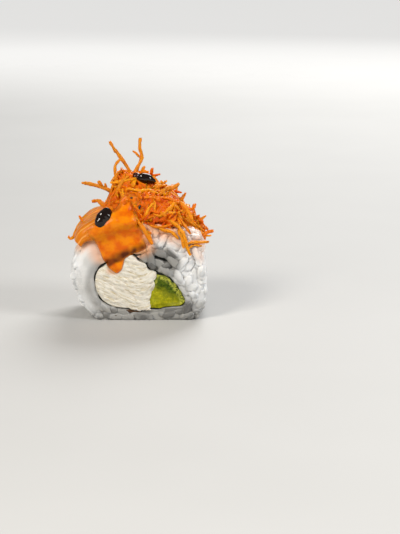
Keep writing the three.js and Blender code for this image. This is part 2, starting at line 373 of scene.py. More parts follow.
def inside(points, lines):
    """True for each point that lies within the outlines and outside their holes."""
    crossed = np.zeros(len(points), int)
    for line in lines:
        for (x1, z1), (x2, z2) in zip(line, np.roll(line, -1, axis=0)):
            spans = (z1 > points[:, 1]) != (z2 > points[:, 1])
            at = x1 + (points[:, 1] - z1) * (x2 - x1) / (z2 - z1 if z2 != z1 else 1)
            crossed += spans & (points[:, 0] < at)
    return crossed % 2 == 1


rice_line, rice_hole = cut_lines("rice")[:2]
nori_line = cut_lines("nori")[0]
cheese_line = cut_lines("cream_cheese")[0]
avocado_line = cut_lines("avocado")[0]
print("rice band in square mm:", round(line_area(rice_line) + line_area(rice_hole)))

# %% [markdown]
# ## A layer that runs through the roll
# Rice core, seaweed, cream cheese and avocado are all prisms with worked faces. Each is built
# from its outline: a grid of inner points lets the knife's marks rise and fall on the faces, a
# constrained triangulation fills them, and rings of points carry the walls from front to back.

# %% Layers with a relief on their faces
ROW_STEP = 0.87  # the height of an even triangle with sides of 1
RIM_CLEARANCE = 0.6  # the gap between rim and inner points, as a share of their spacing
FAR = 50.0  # mm: noise for the two cut faces is read this far out, so that they differ


def filled(lines, spacing):
    """Points and triangles that fill the outlines, with the outline's own points first."""
    rim = np.vstack(lines)
    low, high = rim.min(axis=0), rim.max(axis=0)
    rows = np.arange(low[1], high[1], spacing * ROW_STEP)
    grid = np.array([[x + spacing * (k % 2) / 2, z] for k, z in enumerate(rows)
                     for x in np.arange(low[0], high[0], spacing)])
    grid = grid[inside(grid, lines)]
    clear = np.min([line_distance(grid, line) for line in lines], axis=0)
    grid = grid[clear > RIM_CLEARANCE * spacing]
    points = np.vstack([rim, grid])
    edges, start = [], 0
    for line in lines:
        edges += [(start + k, start + (k + 1) % len(line)) for k in range(len(line))]
        start += len(line)
    found = delaunay_2d_cdt([Vector(p) for p in points], edges, [], 0, 1e-7)
    origin = [ids[0] for ids in found[3]]
    faces = np.array([[origin[v] for v in face] for face in found[2]])
    a, b, c = points[faces[:, 0]], points[faces[:, 1]], points[faces[:, 2]]
    turn = (b - a)[:, 0] * (c - a)[:, 1] - (b - a)[:, 1] * (c - a)[:, 0]
    faces[turn < 0] = faces[turn < 0][:, ::-1]
    return points, faces[inside((a + b + c) / 3, lines) & (np.abs(turn) > 1e-9)]


def layer(name, lines, relief, material=None, *, spacing, slices, wall=None, **attributes):
    """A prism through the roll. relief gives how far a face stands out past the cut plane."""
    points, faces = filled(lines, spacing)
    rim_count = sum(len(line) for line in lines)
    sides = np.vstack([outward(line) for line in lines])
    verts = []
    for end in (-1, 1):
        solid = np.insert(points, 1, end * FAR, axis=1)
        verts.append(np.insert(points, 1, end * (HALF_DEPTH + relief(solid)), axis=1))
    front, back = verts
    rings = [np.arange(rim_count)]
    for k in range(1, slices):
        share = k / slices
        ring = front[:rim_count] * (1 - share) + back[:rim_count] * share
        if wall:
            ring[:, [0, 2]] += sides * wall(ring)[:, None]
        rings.append(sum(map(len, verts)) + np.arange(rim_count))
        verts.append(ring)
    rings.append(len(front) + np.arange(rim_count))
    quads, start = [], 0
    for line in lines:
        here = start + np.arange(len(line))
        there = start + (np.arange(len(line)) + 1) % len(line)
        for a, b in zip(rings, rings[1:]):
            quads.append(np.column_stack([a[here], b[here], b[there], a[there]]))
        start += len(line)
    all_points = np.vstack(verts)
    all_faces = [*faces, *(faces[:, ::-1] + len(front)), *np.vstack(quads)]
    values = {label: rule(all_points) for label, rule in attributes.items()}
    return new_piece(name, all_points, all_faces, material, **values)


# %% [markdown]
# ## Cooked rice
# Cooked short-grain rice is a starch gel: light goes a little way into each grain and comes out
# softened, and the moist skin gives small clear highlights. Grains that are wet through, low on
# the roll and inside the spiral, look greyer and glassier, and there a grey is also painted as
# shade, low on the roll and beside the seaweed. Those next to the sauce have taken up some of its
# orange. One colour for all of it would look like plaster, so four numbers stored at each point
# steer the shader: the grain's own random tone, how wet and how shaded the place is, how deep it
# lies between its neighbours, which darkens the gaps as painted shade, and how much sauce has
# soaked in.

# %% What every finish is made with
def new_finish(name, *stored, **surface):
    """A material with one Principled shader, which can read numbers stored at a piece's points.

    Gives back the material, its node tree, its shader and a socket for each stored number."""
    finish = bpy.data.materials.new(name)
    finish.use_nodes = True
    tree = finish.node_tree
    tree.nodes.clear()
    inputs = {label.replace("_", " "): value for label, value in surface.items()}
    shader = add_node(tree, "ShaderNodeBsdfPrincipled", inputs)
    add_node(tree, "ShaderNodeOutputMaterial", {"Surface": shader.outputs[0]})
    numbers = [add_node(tree, "ShaderNodeAttribute", result="Fac", attribute_name=label)
               for label in stored]
    return finish, tree, shader, *numbers


def paint(tree, shader, base, layers, relief=None, height=0.1, strength=1.0):
    """Lays colours over a base colour, each by its own share, and raises a relief height mm high.

    A colour is a hex string, or a socket where it isn't the same everywhere."""
    colour = linear(base)
    for share, over in layers:
        over = linear(over) if isinstance(over, str) else over
        colour = add_node(tree, "ShaderNodeMix", {
            "Factor": share, "A": colour, "B": over}, "Result", data_type="RGBA")
    tree.links.new(colour, shader.inputs["Base Color"])
    if relief:
        bump = add_node(tree, "ShaderNodeBump", {
            "Height": relief, "Distance": height * MM, "Strength": strength}, 0)
        tree.links.new(bump, shader.inputs["Normal"])


def lumps(tree, size_mm, stretch=(1, 1, 1), detail=2.0, roughness=0.5):
    """A pattern between 0 and 1 with lumps size_mm wide, stretched along the object's axes."""
    place = add_node(tree, "ShaderNodeTexCoord", result="Object")
    scale = Vector([1 / (size_mm * MM * s) for s in stretch])
    mapping = add_node(tree, "ShaderNodeMapping", {"Vector": place, "Scale": scale}, 0)
    return add_node(tree, "ShaderNodeTexNoise", {
        "Vector": mapping, "Scale": 1.0, "Detail": detail, "Roughness": roughness}, "Fac")


# %% Rice finish
def rice_finish():
    """Clouded white, greyer and glassier where wet, orange where the sauce has soaked in.

    The grey is also painted shade low on the roll and beside the seaweed, and the gaps between
    grains are darkened as painted shade.
    """
    # Starch gel lets light in, which gives the milky glow; its wet skin gives small clear lights.
    finish, tree, shader, own, moist, hollow, sauced = new_finish(
        "cooked_rice", "own", "moist", "hollow", "sauced", Roughness=0.32, IOR=1.36,
        Subsurface_Weight=0.45, Subsurface_Radius=(1.0, 0.92, 0.82), Subsurface_Scale=1.2 * MM)
    greyer = add_node(tree, "ShaderNodeMapRange", {
        "Value": own, "From Min": 0.4, "From Max": 1.6}, "Result")
    # This darker grey is painted for wet grains and also as shade low on the roll and beside the
    # seaweed.
    wet_shaded_grey = add_node(tree, "ShaderNodeMix", {
        "Factor": own, "A": linear("#666562"), "B": linear("#a19f9a")}, "Result",
        data_type="RGBA")
    # Painted shade: the rice is drawn darker where it lies deep between its grains.
    gap_shade = add_node(tree, "ShaderNodeMapRange", {
        "Value": hollow, "From Min": 0.05, "From Max": 0.5}, "Result")
    paint(tree, shader, "#e4e4e3", [
        (lumps(tree, 1.6), "#f7f6f3"), (greyer, "#c4c4c2"), (moist, wet_shaded_grey), (gap_shade, "#7d7a75"),
        (sauced, "#f3a055")], relief=lumps(tree, 0.6), height=0.1, strength=0.6)
    return finish


cooked_rice = rice_finish()
print("finish:", cooked_rice.name)

# %% [markdown]
# ## Rice: a core and its grains
# The roll's rice is a band of grains pressed together. A core, set a little below the surface,
# closes the gaps, and real grains lie over it. A grain is six millimetres long and less than
# half as wide, so round lumps or a bumpy texture would never pass for it. The grains' places are
# worked out first: spaced evenly over the pressed outside, over both cut faces and over a small
# mound on the right shoulder, and turned at random, but never across the seaweed.

# %% Where rice is wet and painted with shade, and where it is sauced
rng = np.random.default_rng(11)


def moisture(points):
    """How wet and grey the rice looks, from 0 to 1: round the seaweed and low on the roll.

    Low on the roll and beside the seaweed this grey is partly painted shade.
    """
    x, y, z = points.T
    on_face = smooth_step(9, 12, np.abs(y))
    tongue = smooth_step(1.0, 0.7, np.hypot((x - 7.2) / 8.2, (z - 20.2) / 6.2)) * on_face
    low = smooth_step(5.8, 2.6, z) * smooth_step(-19, -10, x)
    corner = smooth_step(8.5, 5.0, z) * smooth_step(12, 16, x)
    from_seaweed = line_distance(points[:, [0, 2]], rice_hole)
    beside = smooth_step(3.6, 1.0, from_seaweed) * on_face
    left = smooth_step(8.5, 2.5, from_seaweed) * smooth_step(-9, -13, x) * on_face
    # Painted shade: low, corner, beside and left draw the rice greyer low on the roll and next to
    # the seaweed.
    wet = tongue + 0.92 * np.maximum(low, 0.75 * corner) + 0.45 * beside + 0.28 * left
    return np.clip(wet + 0.2 * soft_noise(points, 2.5, 5), 0, 1)


def sauce_soaked(points):
    """How much orange sauce the rice has taken up, from 0 to 1: just under the topping."""
    x, y, z = points.T
    upper = rice_line[rice_line[:, 1] > 14]
    upper = upper[np.argsort(upper[:, 0])]
    under = np.interp(x, upper[:, 0], upper[:, 1]) - z + 1.4 * soft_noise(points, 4, 7)
    lowest = 17.5 + 4 * smooth_step(-10, -14, x)
    tint = smooth_step(7.5, 1.5, under) * smooth_step(lowest, lowest + 5, z)
    right_of_sauce = smooth_step(8.5, 3.0, np.hypot(x + 0.5, 1.2 * (z - 27)))
    sauce_edge = np.interp(z, [17, 21, 24, 29], [-9.6, -12.2, -13.6, -17])
    left_of_sauce = smooth_step(6, 0.5, np.abs(sauce_edge - x)) * smooth_step(17.5, 21.5, z)
    beside = np.maximum(0.8 * right_of_sauce, 0.5 * left_of_sauce) * (y < -10)
    return np.maximum(0.75 * tint * (1 - 0.6 * smooth_step(11, 16, x)), beside)


# %% Rice core
def smoothed(line, rounds):
    """A closed line with its bumps averaged out."""
    for _ in range(rounds):
        line = (line + (np.roll(line, 1, axis=0) + np.roll(line, -1, axis=0)) / 2) / 2
    return line


OUTLINE_STEP = 0.8
CORE_INSET = 1.1  # how far the core lies inside the pressed outside, in mm
CORE_DEPTH = 1.05  # and how far below the knife's plane
CORE_UNDERSIDE = 0.6
outer_line = resampled(smoothed(rice_line, 4), OUTLINE_STEP)
core_line = outer_line - outward(outer_line) * CORE_INSET
core_line[:, 1] = np.maximum(core_line[:, 1], CORE_UNDERSIDE)
hole_line = resampled(rice_hole, 0.7)
inroad = np.clip(0.36 + 0.3 * soft_noise(np.insert(hole_line, 1, 0, axis=1), 3, 2), 0.15, 0.5)
beside_avocado = smooth_step(6, 8, hole_line[:, 0]) * smooth_step(15, 13, hole_line[:, 1])
inroad += 0.25 * beside_avocado + 0.1 * smooth_step(-9, -12, hole_line[:, 0])
inroad *= 1 - 0.7 * smooth_step(16, 18, hole_line[:, 1]) * smooth_step(1, 4, hole_line[:, 0])
hole_line = hole_line + outward(hole_line) * inroad[:, None]


def smearing(points):
    """How much the knife has smeared the rice smooth, from 0 to 1: on the left of the cut."""
    x, y, z = points.T
    within = smooth_step(0.4, 2.0, line_distance(points[:, [0, 2]], outer_line))
    return (smooth_step(-11.5, -15.5, x) * smooth_step(1, 5, z)
            * smooth_step(-8.5, -12.5, y) * (0.12 + 0.88 * within))


def core_relief(points):
    """The core's cut faces lie low at the right and nearly flush where the knife smeared them."""
    by_seaweed = smooth_step(1.8, 0.5, line_distance(points[:, [0, 2]], rice_hole))
    low = -CORE_DEPTH + 0.8 * smearing(points) + 0.2 * soft_noise(points, 2.4, 3)
    tongue_gap = smooth_step(16, 18, points[:, 2]) * smooth_step(1, 4, points[:, 0])
    return np.maximum(low, -CORE_DEPTH + 0.65 * by_seaweed * (1 - tongue_gap))


rice_core = layer("rice_core", [core_line, hole_line], core_relief, spacing=0.9, slices=14,
                  wall=lambda ring: 0.2 * soft_noise(ring, 2.6, 4))


def ball(name, middle, half, subdivisions=3):
    """A ball stretched to its half lengths, in mm."""
    mesh = bmesh.new()
    bmesh.ops.create_icosphere(mesh, subdivisions=subdivisions, radius=1.0)
    points = np.array([tuple(vert.co) for vert in mesh.verts])
    faces = [[vert.index for vert in face.verts] for face in mesh.faces]
    mesh.free()
    return new_piece(name, points * np.array(half) + np.array(middle), faces)


MOUND_MIDDLE = (17.3, -6.5, 24.6)
MOUND_HALF = (4.9, 7.0, 5.6)
mound = ball("mound", MOUND_MIDDLE, np.array(MOUND_HALF) - 0.6)
print("the core has", len(rice_core.data.polygons), "faces")

# %% Places for the grains
def spaced_places(candidates, spacing):
    """Keeps the candidates, in order, that lie at least spacing from those kept before."""
    kept = candidates[:1]
    for place in candidates[1:]:
        if np.min(np.sum((kept - place) ** 2, axis=1)) > spacing ** 2:
            kept = np.vstack([kept, place])
    return kept


def turned(along, up):
    """The Euler turn that lays a piece's X axis along one direction and its Z axis near up."""
    x_axis = Vector(along).normalized()
    y_axis = Vector(up).cross(x_axis).normalized()
    z_axis = x_axis.cross(y_axis)
    return Matrix((x_axis, y_axis, z_axis)).transposed().to_euler()


GRAIN_SIZES = [(5.2, 6.9), (2.2, 2.75), (2.0, 2.4)]  # least and most length, width and height
WALL_SPACING = 2.3
FACE_SPACING = 2.0
SHOULDER_SPACING = 2.2
WALL_END = 13.3  # mm from the middle of the roll, where the face's own grains begin
TRIES = 9000


def any_size(limits):
    """A random length, width and height between the limits, in mm."""
    return [rng.uniform(least, most) for least, most in limits]


# %% Grains on the outside and the faces
def wall_grains():
    """The place, turn and size of each grain on the pressed outside."""
    length = len(outer_line) * OUTLINE_STEP
    candidates = rng.uniform((0, -WALL_END), (length, WALL_END), (TRIES, 2))
    sides = outward(outer_line)
    for travel, y in spaced_places(candidates, WALL_SPACING):
        k = int(travel / length * len(outer_line)) % len(outer_line)
        (x, z), (nx, nz) = outer_line[k], sides[k]
        hidden_by_the_heap = z > 28 and abs(y) < 9 and x < 12
        if hidden_by_the_heap:
            continue
        depth = rng.uniform(0.55, 1.35)
        spin, tilt = rng.uniform(0, math.pi), rng.uniform(-0.16, 0.16)
        flat = Vector((-nz * math.cos(spin), math.sin(spin), nx * math.cos(spin)))
        normal = Vector((nx, 0, nz))
        place = (x - nx * depth, y, z - nz * depth)
        yield place, turned(flat + normal * tilt, normal), any_size(GRAIN_SIZES)


def face_grains(end):
    """The place, turn and size of each grain that the knife has cut on one face."""
    low, high = outer_line.min(axis=0), outer_line.max(axis=0)
    candidates = rng.uniform(low, high, (TRIES, 2))
    room = inside(candidates, [outer_line, rice_hole])
    room &= line_distance(candidates, rice_hole) > 0.65
    room &= line_distance(candidates, outer_line) > 0.95
    for x, z in spaced_places(candidates[room], FACE_SPACING):
        size = any_size(GRAIN_SIZES)
        spins = rng.uniform(0, math.pi, 10)
        reach = size[0] * 0.42
        tips = [np.array([[x, z]]) + s * reach * np.column_stack([np.cos(spins), np.sin(spins)])
                for s in (-1, 1)]
        free = np.min([np.where(inside(tip, [outer_line, rice_hole]), 1, -1)
                       * np.minimum(line_distance(tip, rice_hole), line_distance(tip, outer_line))
                       for tip in tips], axis=0)
        enough = np.flatnonzero(free > 0.6)
        best = enough[0] if len(enough) else int(np.argmax(free))
        if free[best] < 0.5:
            size[0] *= 0.62
        smeared = end < 0 and x < -13 and z > 4
        tilt = rng.uniform(-0.12, 0.12) if smeared else rng.uniform(-0.5, 0.5)
        depth = rng.uniform(0.35, 0.7) if smeared else rng.uniform(0.3, 1.25)
        along = Vector((math.cos(spins[best]), end * tilt, math.sin(spins[best])))
        yield (x, end * (HALF_DEPTH - depth), z), turned(along, (0, end, 0)), size


# %% Grains on the shoulder
def shoulder_grains():
    """The place, turn and size of each grain over the mound on the right shoulder."""
    ways = rng.normal(0, 1, (4000, 3))
    ways /= np.linalg.norm(ways, axis=1)[:, None]
    ways = ways[(ways[:, 2] > -0.1) & (ways[:, 1] < 0.7)]
    middle, half = np.array(MOUND_MIDDLE), np.array(MOUND_HALF)
    for place in spaced_places(middle + ways * (half - 0.5), SHOULDER_SPACING):
        normal = Vector((place - middle) / half ** 2).normalized()
        along = normal.cross(Vector(rng.normal(0, 1, 3)))
        yield tuple(place), turned(along, normal), any_size(GRAIN_SIZES)


def set_out(name, *groups, **attributes):
    """A cloud of points that carries a turn and a size in mm for the piece at each point."""
    places, turns, sizes = zip(*itertools.chain(*groups))
    extra = {label: rule(np.array(places)) for label, rule in attributes.items()}
    print(name, "has", len(places), "places")
    return new_piece(name, places, [], turn=np.array([tuple(t) for t in turns]),
                     size=np.array(sizes), **extra)


def knife_depth(points):
    """How far from the middle of the roll the knife passed, a little different at each grain."""
    return (HALF_DEPTH + rng.uniform(-0.6, 0.2, len(points))) * MM


# %% [markdown]
# ## One grain many times
# Geometry Nodes put a grain at every place. The tree reads each place's turn and size, makes
# the copies real, and then presses them: nothing may stand past the knife's plane or sink
# below the board, so grains that cross those planes get the flat facets of cut rice.

# %% The tree that lays out small pieces
def layout_tree():
    """A turned and sized copy of one piece at every place, pressed by the knife and the board."""
    tree, enter, leave = new_tree(
        "lay_out_pieces", Piece="Object", Finish="Material", Table=0.0)
    turn, size, knife = [
        add_node(tree, "GeometryNodeInputNamedAttribute", {"Name": name}, "Attribute",
                 data_type=kind)
        for name, kind in (("turn", "FLOAT_VECTOR"), ("size", "FLOAT_VECTOR"), ("knife", "FLOAT"))]
    shape = add_node(tree, "GeometryNodeObjectInfo", {"Object": enter.outputs["Piece"]}, "Geometry")
    rotation = add_node(tree, "FunctionNodeEulerToRotation", {"Euler": turn}, 0)
    copies = add_node(tree, "GeometryNodeInstanceOnPoints", {
        "Points": enter.outputs["Geometry"], "Instance": shape, "Rotation": rotation,
        "Scale": size}, 0)
    real = add_node(tree, "GeometryNodeRealizeInstances", {"Geometry": copies}, 0)
    place = add_node(tree, "GeometryNodeInputPosition", result=0)
    parts = add_node(tree, "ShaderNodeSeparateXYZ", {"Vector": place}).outputs
    opposite = add_node(tree, "ShaderNodeMath", {0: knife, 1: -1.0}, 0, operation="MULTIPLY")
    front = add_node(tree, "ShaderNodeMath", {0: parts["Y"], 1: opposite}, 0,
                     operation="MAXIMUM")
    both = add_node(tree, "ShaderNodeMath", {0: front, 1: knife}, 0, operation="MINIMUM")
    above = add_node(tree, "ShaderNodeMath", {0: parts["Z"], 1: enter.outputs["Table"]}, 0,
                     operation="MAXIMUM")
    pressed = add_node(tree, "ShaderNodeCombineXYZ", {"X": parts["X"], "Y": both, "Z": above}, 0)
    moved = add_node(tree, "GeometryNodeSetPosition", {"Geometry": real, "Position": pressed}, 0)
    coated = add_node(tree, "GeometryNodeSetMaterial", {
        "Geometry": moved, "Material": enter.outputs["Finish"]}, 0)
    tree.links.new(coated, leave.inputs[0])
    return tree


lay_out_pieces = layout_tree()
print(lay_out_pieces.name, "has", len(lay_out_pieces.nodes), "nodes")

# %% Shape of a grain
def spindle(name, around, along, blunt, bend):
    """A blunt-ended spindle, one unit long and wide; laid out, its size gives it millimetres."""
    points, faces = [(-0.5, 0, 0)], []
    for k in range(1, along + 1):
        t = -0.5 + k / (along + 1)
        radius = 0.5 * (1 - abs(2 * t) ** blunt) ** 0.5
        for j in range(around):
            angle = 2 * math.pi * j / around
            lift = bend * (0.25 - t * t)
            points.append((t, radius * math.cos(angle), radius * math.sin(angle) + lift))
    points.append((0.5, 0, 0))
    for j in range(around):
        after = (j + 1) % around
        faces.append((0, 1 + after, 1 + j))
        for k in range(along - 1):
            a = 1 + k * around
            faces.append((a + j, a + after, a + around + after, a + around + j))
        last = 1 + (along - 1) * around
        faces.append((last + j, last + after, len(points) - 1))
    return new_piece(name, points, faces)


def own_shade(places):
    """A random number from 0 to 1 for each place, so that neighbours differ a little."""
    return rng.uniform(0, 1, len(places))


grain_shape = spindle("grain_shape", around=8, along=7, blunt=2.5, bend=0.35)
cloud = set_out(
    "rice_places", wall_grains(), face_grains(-1), face_grains(1), shoulder_grains(),
    knife=knife_depth, own=own_shade)
loose_grains = run_tree(cloud, lay_out_pieces, "loose_grains", Piece=grain_shape,
                        Finish=cooked_rice, Table=0.0)
clear_away(grain_shape)

# %% [markdown]
# ## From grains to pressed rice
# The core, the mound and the grains are merged into one skin, set a little below the grains, and
# the grains themselves are kept as a second piece. Their tops stand out of the skin with crisp
# outlines, and their undersides melt into it. On the left of the cut the knife has smeared the
# rice smooth: there the skin is eased, and the grains sink below it.

# %% Grains stuck together
SKIN_BELOW = 0.2  # mm from the tops of the grains down to the skin
SUNK_BACK = 0.03  # how far smeared grains lie back from the cut, as a share of its depth
SUNK_IN = 0.4  # mm in from the left
points, faces, normals = even_squares(
    "rice_squares", rice_core.data, mound.data, loose_grains.data, square=0.36, rounds=1)
share = 0.9 * smearing(points)[:, None]
points = points * (1 - share) + eased(points, faces, 14) * share
below = SKIN_BELOW * (1 - share)
points[:, 2] = np.maximum(points[:, 2], 0.0)
pressed_rice = new_piece(
    "pressed_rice", points - normals * below, faces, cooked_rice, moist=moisture(points),
    sauced=sauce_soaked(points), own=nearest_values(points, loose_grains.data, "own"),
    hollow=hollows(points, faces, normals, 8) * (1 - share[:, 0]))
serve(pressed_rice, "rice", "rice")

grain_points = points_of(loose_grains.data)
sunk = smearing(grain_points)
grain_points[:, 1] *= 1 - SUNK_BACK * sunk
grain_points[:, 0] += SUNK_IN * sunk
rice_grains = new_piece(
    "rice_grains", grain_points, [tuple(face.vertices) for face in loose_grains.data.polygons],
    cooked_rice, moist=moisture(grain_points), sauced=sauce_soaked(grain_points),
    own=values_of(loose_grains.data, "own"))
clear_away(rice_core, mound, loose_grains)
serve(rice_grains, "rice")

# %% [markdown]
# ## Seaweed
# Nori is a paper-thin sheet of pressed seaweed: black with a green cast where light grazes it,
# matt, and finely fibrous. On the cut it shows as a thin dark line. The knife has frayed it, and
# rice and filling swell over it, so its edge is laid about a millimetre below the knife's plane,
# deeper in some places than in others, and the line comes and goes as it does on a real roll.

# %% Seaweed sheet
def nori_finish():
    """Black with a green cast, matt, and pressed from fibres that run along the roll."""
    # Dried and pressed plant fibre: nearly no shine, only a faint sheen where light grazes it.
    finish, tree, shader = new_finish(
        "pressed_seaweed", Roughness=0.5, IOR=1.45, Sheen_Weight=0.15, Sheen_Roughness=0.5)
    fibres = lumps(tree, 0.5, stretch=(4, 4, 1), detail=4, roughness=0.7)
    paint(tree, shader, "#050604", [(fibres, "#1b2014")], relief=fibres, height=0.15,
          strength=0.8)
    return finish


def frayed(points):
    """The seaweed's cut edge, mostly a little below the knife's plane."""
    return -1.0 + 0.7 * soft_noise(points, 2.2, 21)


nori_edge = resampled(nori_line, 0.45)
nori_edge = nori_edge + outward(nori_edge) * 0.1
nori_sheet = layer("nori_sheet", [nori_edge], frayed, nori_finish(), spacing=0.5, slices=10,
                   wall=lambda ring: 0.05 * soft_noise(ring, 2, 22))
serve(nori_sheet, "seaweed", "nori")


# %% [markdown]
# ## Cream cheese
# The knife has drawn the cheese into torn streaks that run down to the right and sweep up again
# beside the avocado. The streaks are worked out as a place along and across them, which steers
# both the relief of the face and the fine grain of the finish. A relief alone looks carved, so
# small shreds are laid along the streaks, a few flakes are smeared over the seaweed, and all of
# them are merged with the body.

# %% Streaks in the cheese
THREAD_WIDTH = 0.45  # mm, a little coarser than real threads, so that they show


def streak_place(points):
    """Each point's place along the streaks, through the roll and across the streaks, in mm."""
    x, y, z = points.T
    across = z + 0.42 * x - 0.12 * np.maximum(x + 1, 0) ** 2
    return np.column_stack([x / 5, y / 3, across])


def cheese_relief(points):
    """How far the torn face stands out, in mm: broad folds, then sharp crests along the streaks."""
    streaks = streak_place(points)
    folds = soft_noise(streaks, 2.6, 31)
    crests = 1 - np.abs(soft_noise(streaks, 0.95, 32))
    rim = smooth_step(1.6, 0.2, line_distance(points[:, [0, 2]], cheese_line))
    return 0.1 + 0.35 * folds + 0.5 * (crests - 0.6) - 0.3 * rim


def cheese_finish():
    """Creamy white and matt, with fine torn threads and warm tan painted shade in the crevices
    between them.
    """
    # Milk fat and protein scatter light close to the surface: soft, creamy and hardly glossy.
    finish, tree, shader, hollow, sauced = new_finish(
        "fresh_cream_cheese", "hollow", "sauced", Roughness=0.5, IOR=1.4, Subsurface_Weight=0.15,
        Subsurface_Radius=(1.0, 0.8, 0.6), Subsurface_Scale=0.6 * MM)
    place = add_node(tree, "ShaderNodeAttribute", result="Vector", attribute_name="streaks")
    threads = add_node(tree, "ShaderNodeTexNoise", {
        "Vector": place, "Scale": 1 / THREAD_WIDTH, "Detail": 4.0, "Roughness": 0.65}, "Fac")
    worn = add_node(tree, "ShaderNodeMapRange", {
        "Value": threads, "From Min": 0.5, "From Max": 0.32}, "Result")
    # Painted shade: the cheese is drawn a darker tan where it lies deep in its crevices.
    crevice_shade = add_node(tree, "ShaderNodeMapRange", {
        "Value": hollow, "From Min": 0.03, "From Max": 0.3}, "Result")
    paint(tree, shader, "#efeadf", [
        (lumps(tree, 3), "#e2dbca"), (worn, "#c9b88f"), (crevice_shade, "#967545"),
        (sauced, "#e08a3a")], relief=threads, height=0.5)
    return finish


# %% Cream cheese body and shreds
cream_cheese_finish = cheese_finish()
print("finish:", cream_cheese_finish.name)
cheese_rim = resampled(cheese_line, 0.5)
solid_rim = np.insert(cheese_rim, 1, -FAR, axis=1)
swell = 0.5 + 0.5 * soft_noise(solid_rim, 1.7, 35)
swell += 0.3 * smooth_step(9, 6, cheese_rim[:, 1])
swell *= 0.4 + 0.6 * smooth_step(-12, -8, cheese_rim[:, 0])
cheese_body = layer("cheese_body", [cheese_rim + outward(cheese_rim) * swell[:, None]],
                    cheese_relief, spacing=0.3, slices=10,
                    wall=lambda ring: 0.12 * soft_noise(ring, 2, 34))


SHRED_SINK = 0.22  # how far the middle of a shred lies below the face, in mm
SHRED_SIZES = [(1.4, 3.4), (0.7, 1.6), (0.5, 0.9)]
SMEAR_SIZES = [(1.0, 2.4), (0.4, 0.8), (0.4, 0.6)]
SMEARED_FLAKES = 22


def cheese_shreds(end):
    """The place, turn and size of each shred that lies along the streaks of one face."""
    low, high = cheese_line.min(axis=0) - 0.3, cheese_line.max(axis=0) + 0.3
    candidates = rng.uniform(low, high, (4000, 2))
    near = inside(candidates, [cheese_line]) & (line_distance(candidates, cheese_line) > 0.7)
    flat = spaced_places(candidates[near], 1.6)
    stand = HALF_DEPTH + cheese_relief(np.insert(flat, 1, end * FAR, axis=1)) - SHRED_SINK
    for (x, z), y in zip(flat, stand):
        slope = -0.42 + 0.24 * max(x + 1, 0) + rng.normal(0, 0.4)
        turn = turned((1, end * rng.uniform(-0.2, 0.2), slope), (0, end, 0))
        yield (x, end * y, z), turn, any_size(SHRED_SIZES)


def cheese_smear():
    """Cheese that the knife dragged down over the seaweed and the rice, at the lower right."""
    for _ in range(SMEARED_FLAKES):
        x = rng.triangular(-2.8, 3.4, 4.2)
        z = rng.uniform(3.2 + 0.1 * abs(x - 2.4), 4.8)
        place = (x, -HALF_DEPTH + rng.uniform(-0.15, 0.15), z)
        yield place, turned((1, 0, rng.normal(0.0, 0.3)), (0, -1, 0)), any_size(SMEAR_SIZES)


# %% Cheese torn but joined
shred_shape = spindle("shred_shape", around=8, along=6, blunt=2.0, bend=0.6)
shred_places = set_out("shred_places", cheese_shreds(-1), cheese_shreds(1), cheese_smear(),
                       knife=lambda points: np.full(len(points), FAR * MM))
shreds = run_tree(shred_places, lay_out_pieces, "shreds", Piece=shred_shape,
                  Finish=cream_cheese_finish, Table=0.0)
clear_away(shred_shape)
points, faces, normals = even_squares(
    "cheese_squares", cheese_body.data, shreds.data, square=0.24, rounds=1)
under_sauce = smooth_step(3.2, 1.0, np.hypot(points[:, 0] + 8.5, (points[:, 2] - 17.5) / 0.7))
under_sauce *= points[:, 1] < 0
torn_cheese = new_piece(
    "torn_cheese", points, faces, cream_cheese_finish, streaks=streak_place(points),
    hollow=hollows(points, faces, normals, 10), sauced=0.6 * under_sauce)
clear_away(cheese_body, shreds)
serve(torn_cheese, "cream_cheese", "cream_cheese")

# %% [markdown]
# ## Avocado
# A ripe avocado is soft and buttery: the knife leaves it nearly smooth, with a moist skin. Its
# flesh is yellow-green by the stone and turns dark green towards the peel, where it is mottled
# and its edge is torn and paler. One layer with a soft relief gives the shape, and two numbers
# stored at each point, nearness to the peel and to the torn edge, give the colours.

# %% Avocado wedge
def skin_side(points):
    """How near a point lies to the peel side of the wedge, from 0 to 1."""
    x, y, z = points.T
    toward = 0.5 * (x - 6) + 0.86 * (z - 9)
    return smooth_step(0.0, 4.2, toward + 1.1 * soft_noise(points, 2.2, 41))


def torn_rim(points):
    """The pale torn edge along the peel, from 0 to 1."""
    near = smooth_step(1.5, 0.3, line_distance(points[:, [0, 2]], avocado_line))
    return near * smooth_step(-0.5, 3, 0.8 * (points[:, 0] - 7) + 0.6 * (points[:, 2] - 8))


def avocado_relief(points):
    """How far the flesh stands out, in mm: in soft waves, rougher by the peel."""
    rim = smooth_step(1.2, 0.1, line_distance(points[:, [0, 2]], avocado_line))
    rough = 0.12 * soft_noise(points * (1, 0, 1), 0.6, 43) * skin_side(points)
    waves = 0.3 * soft_noise(points * (1, 0, 1), 2.6, 42) + 0.1 * soft_noise(points, 0.9, 46)
    return -0.05 + waves + rough - 0.35 * rim


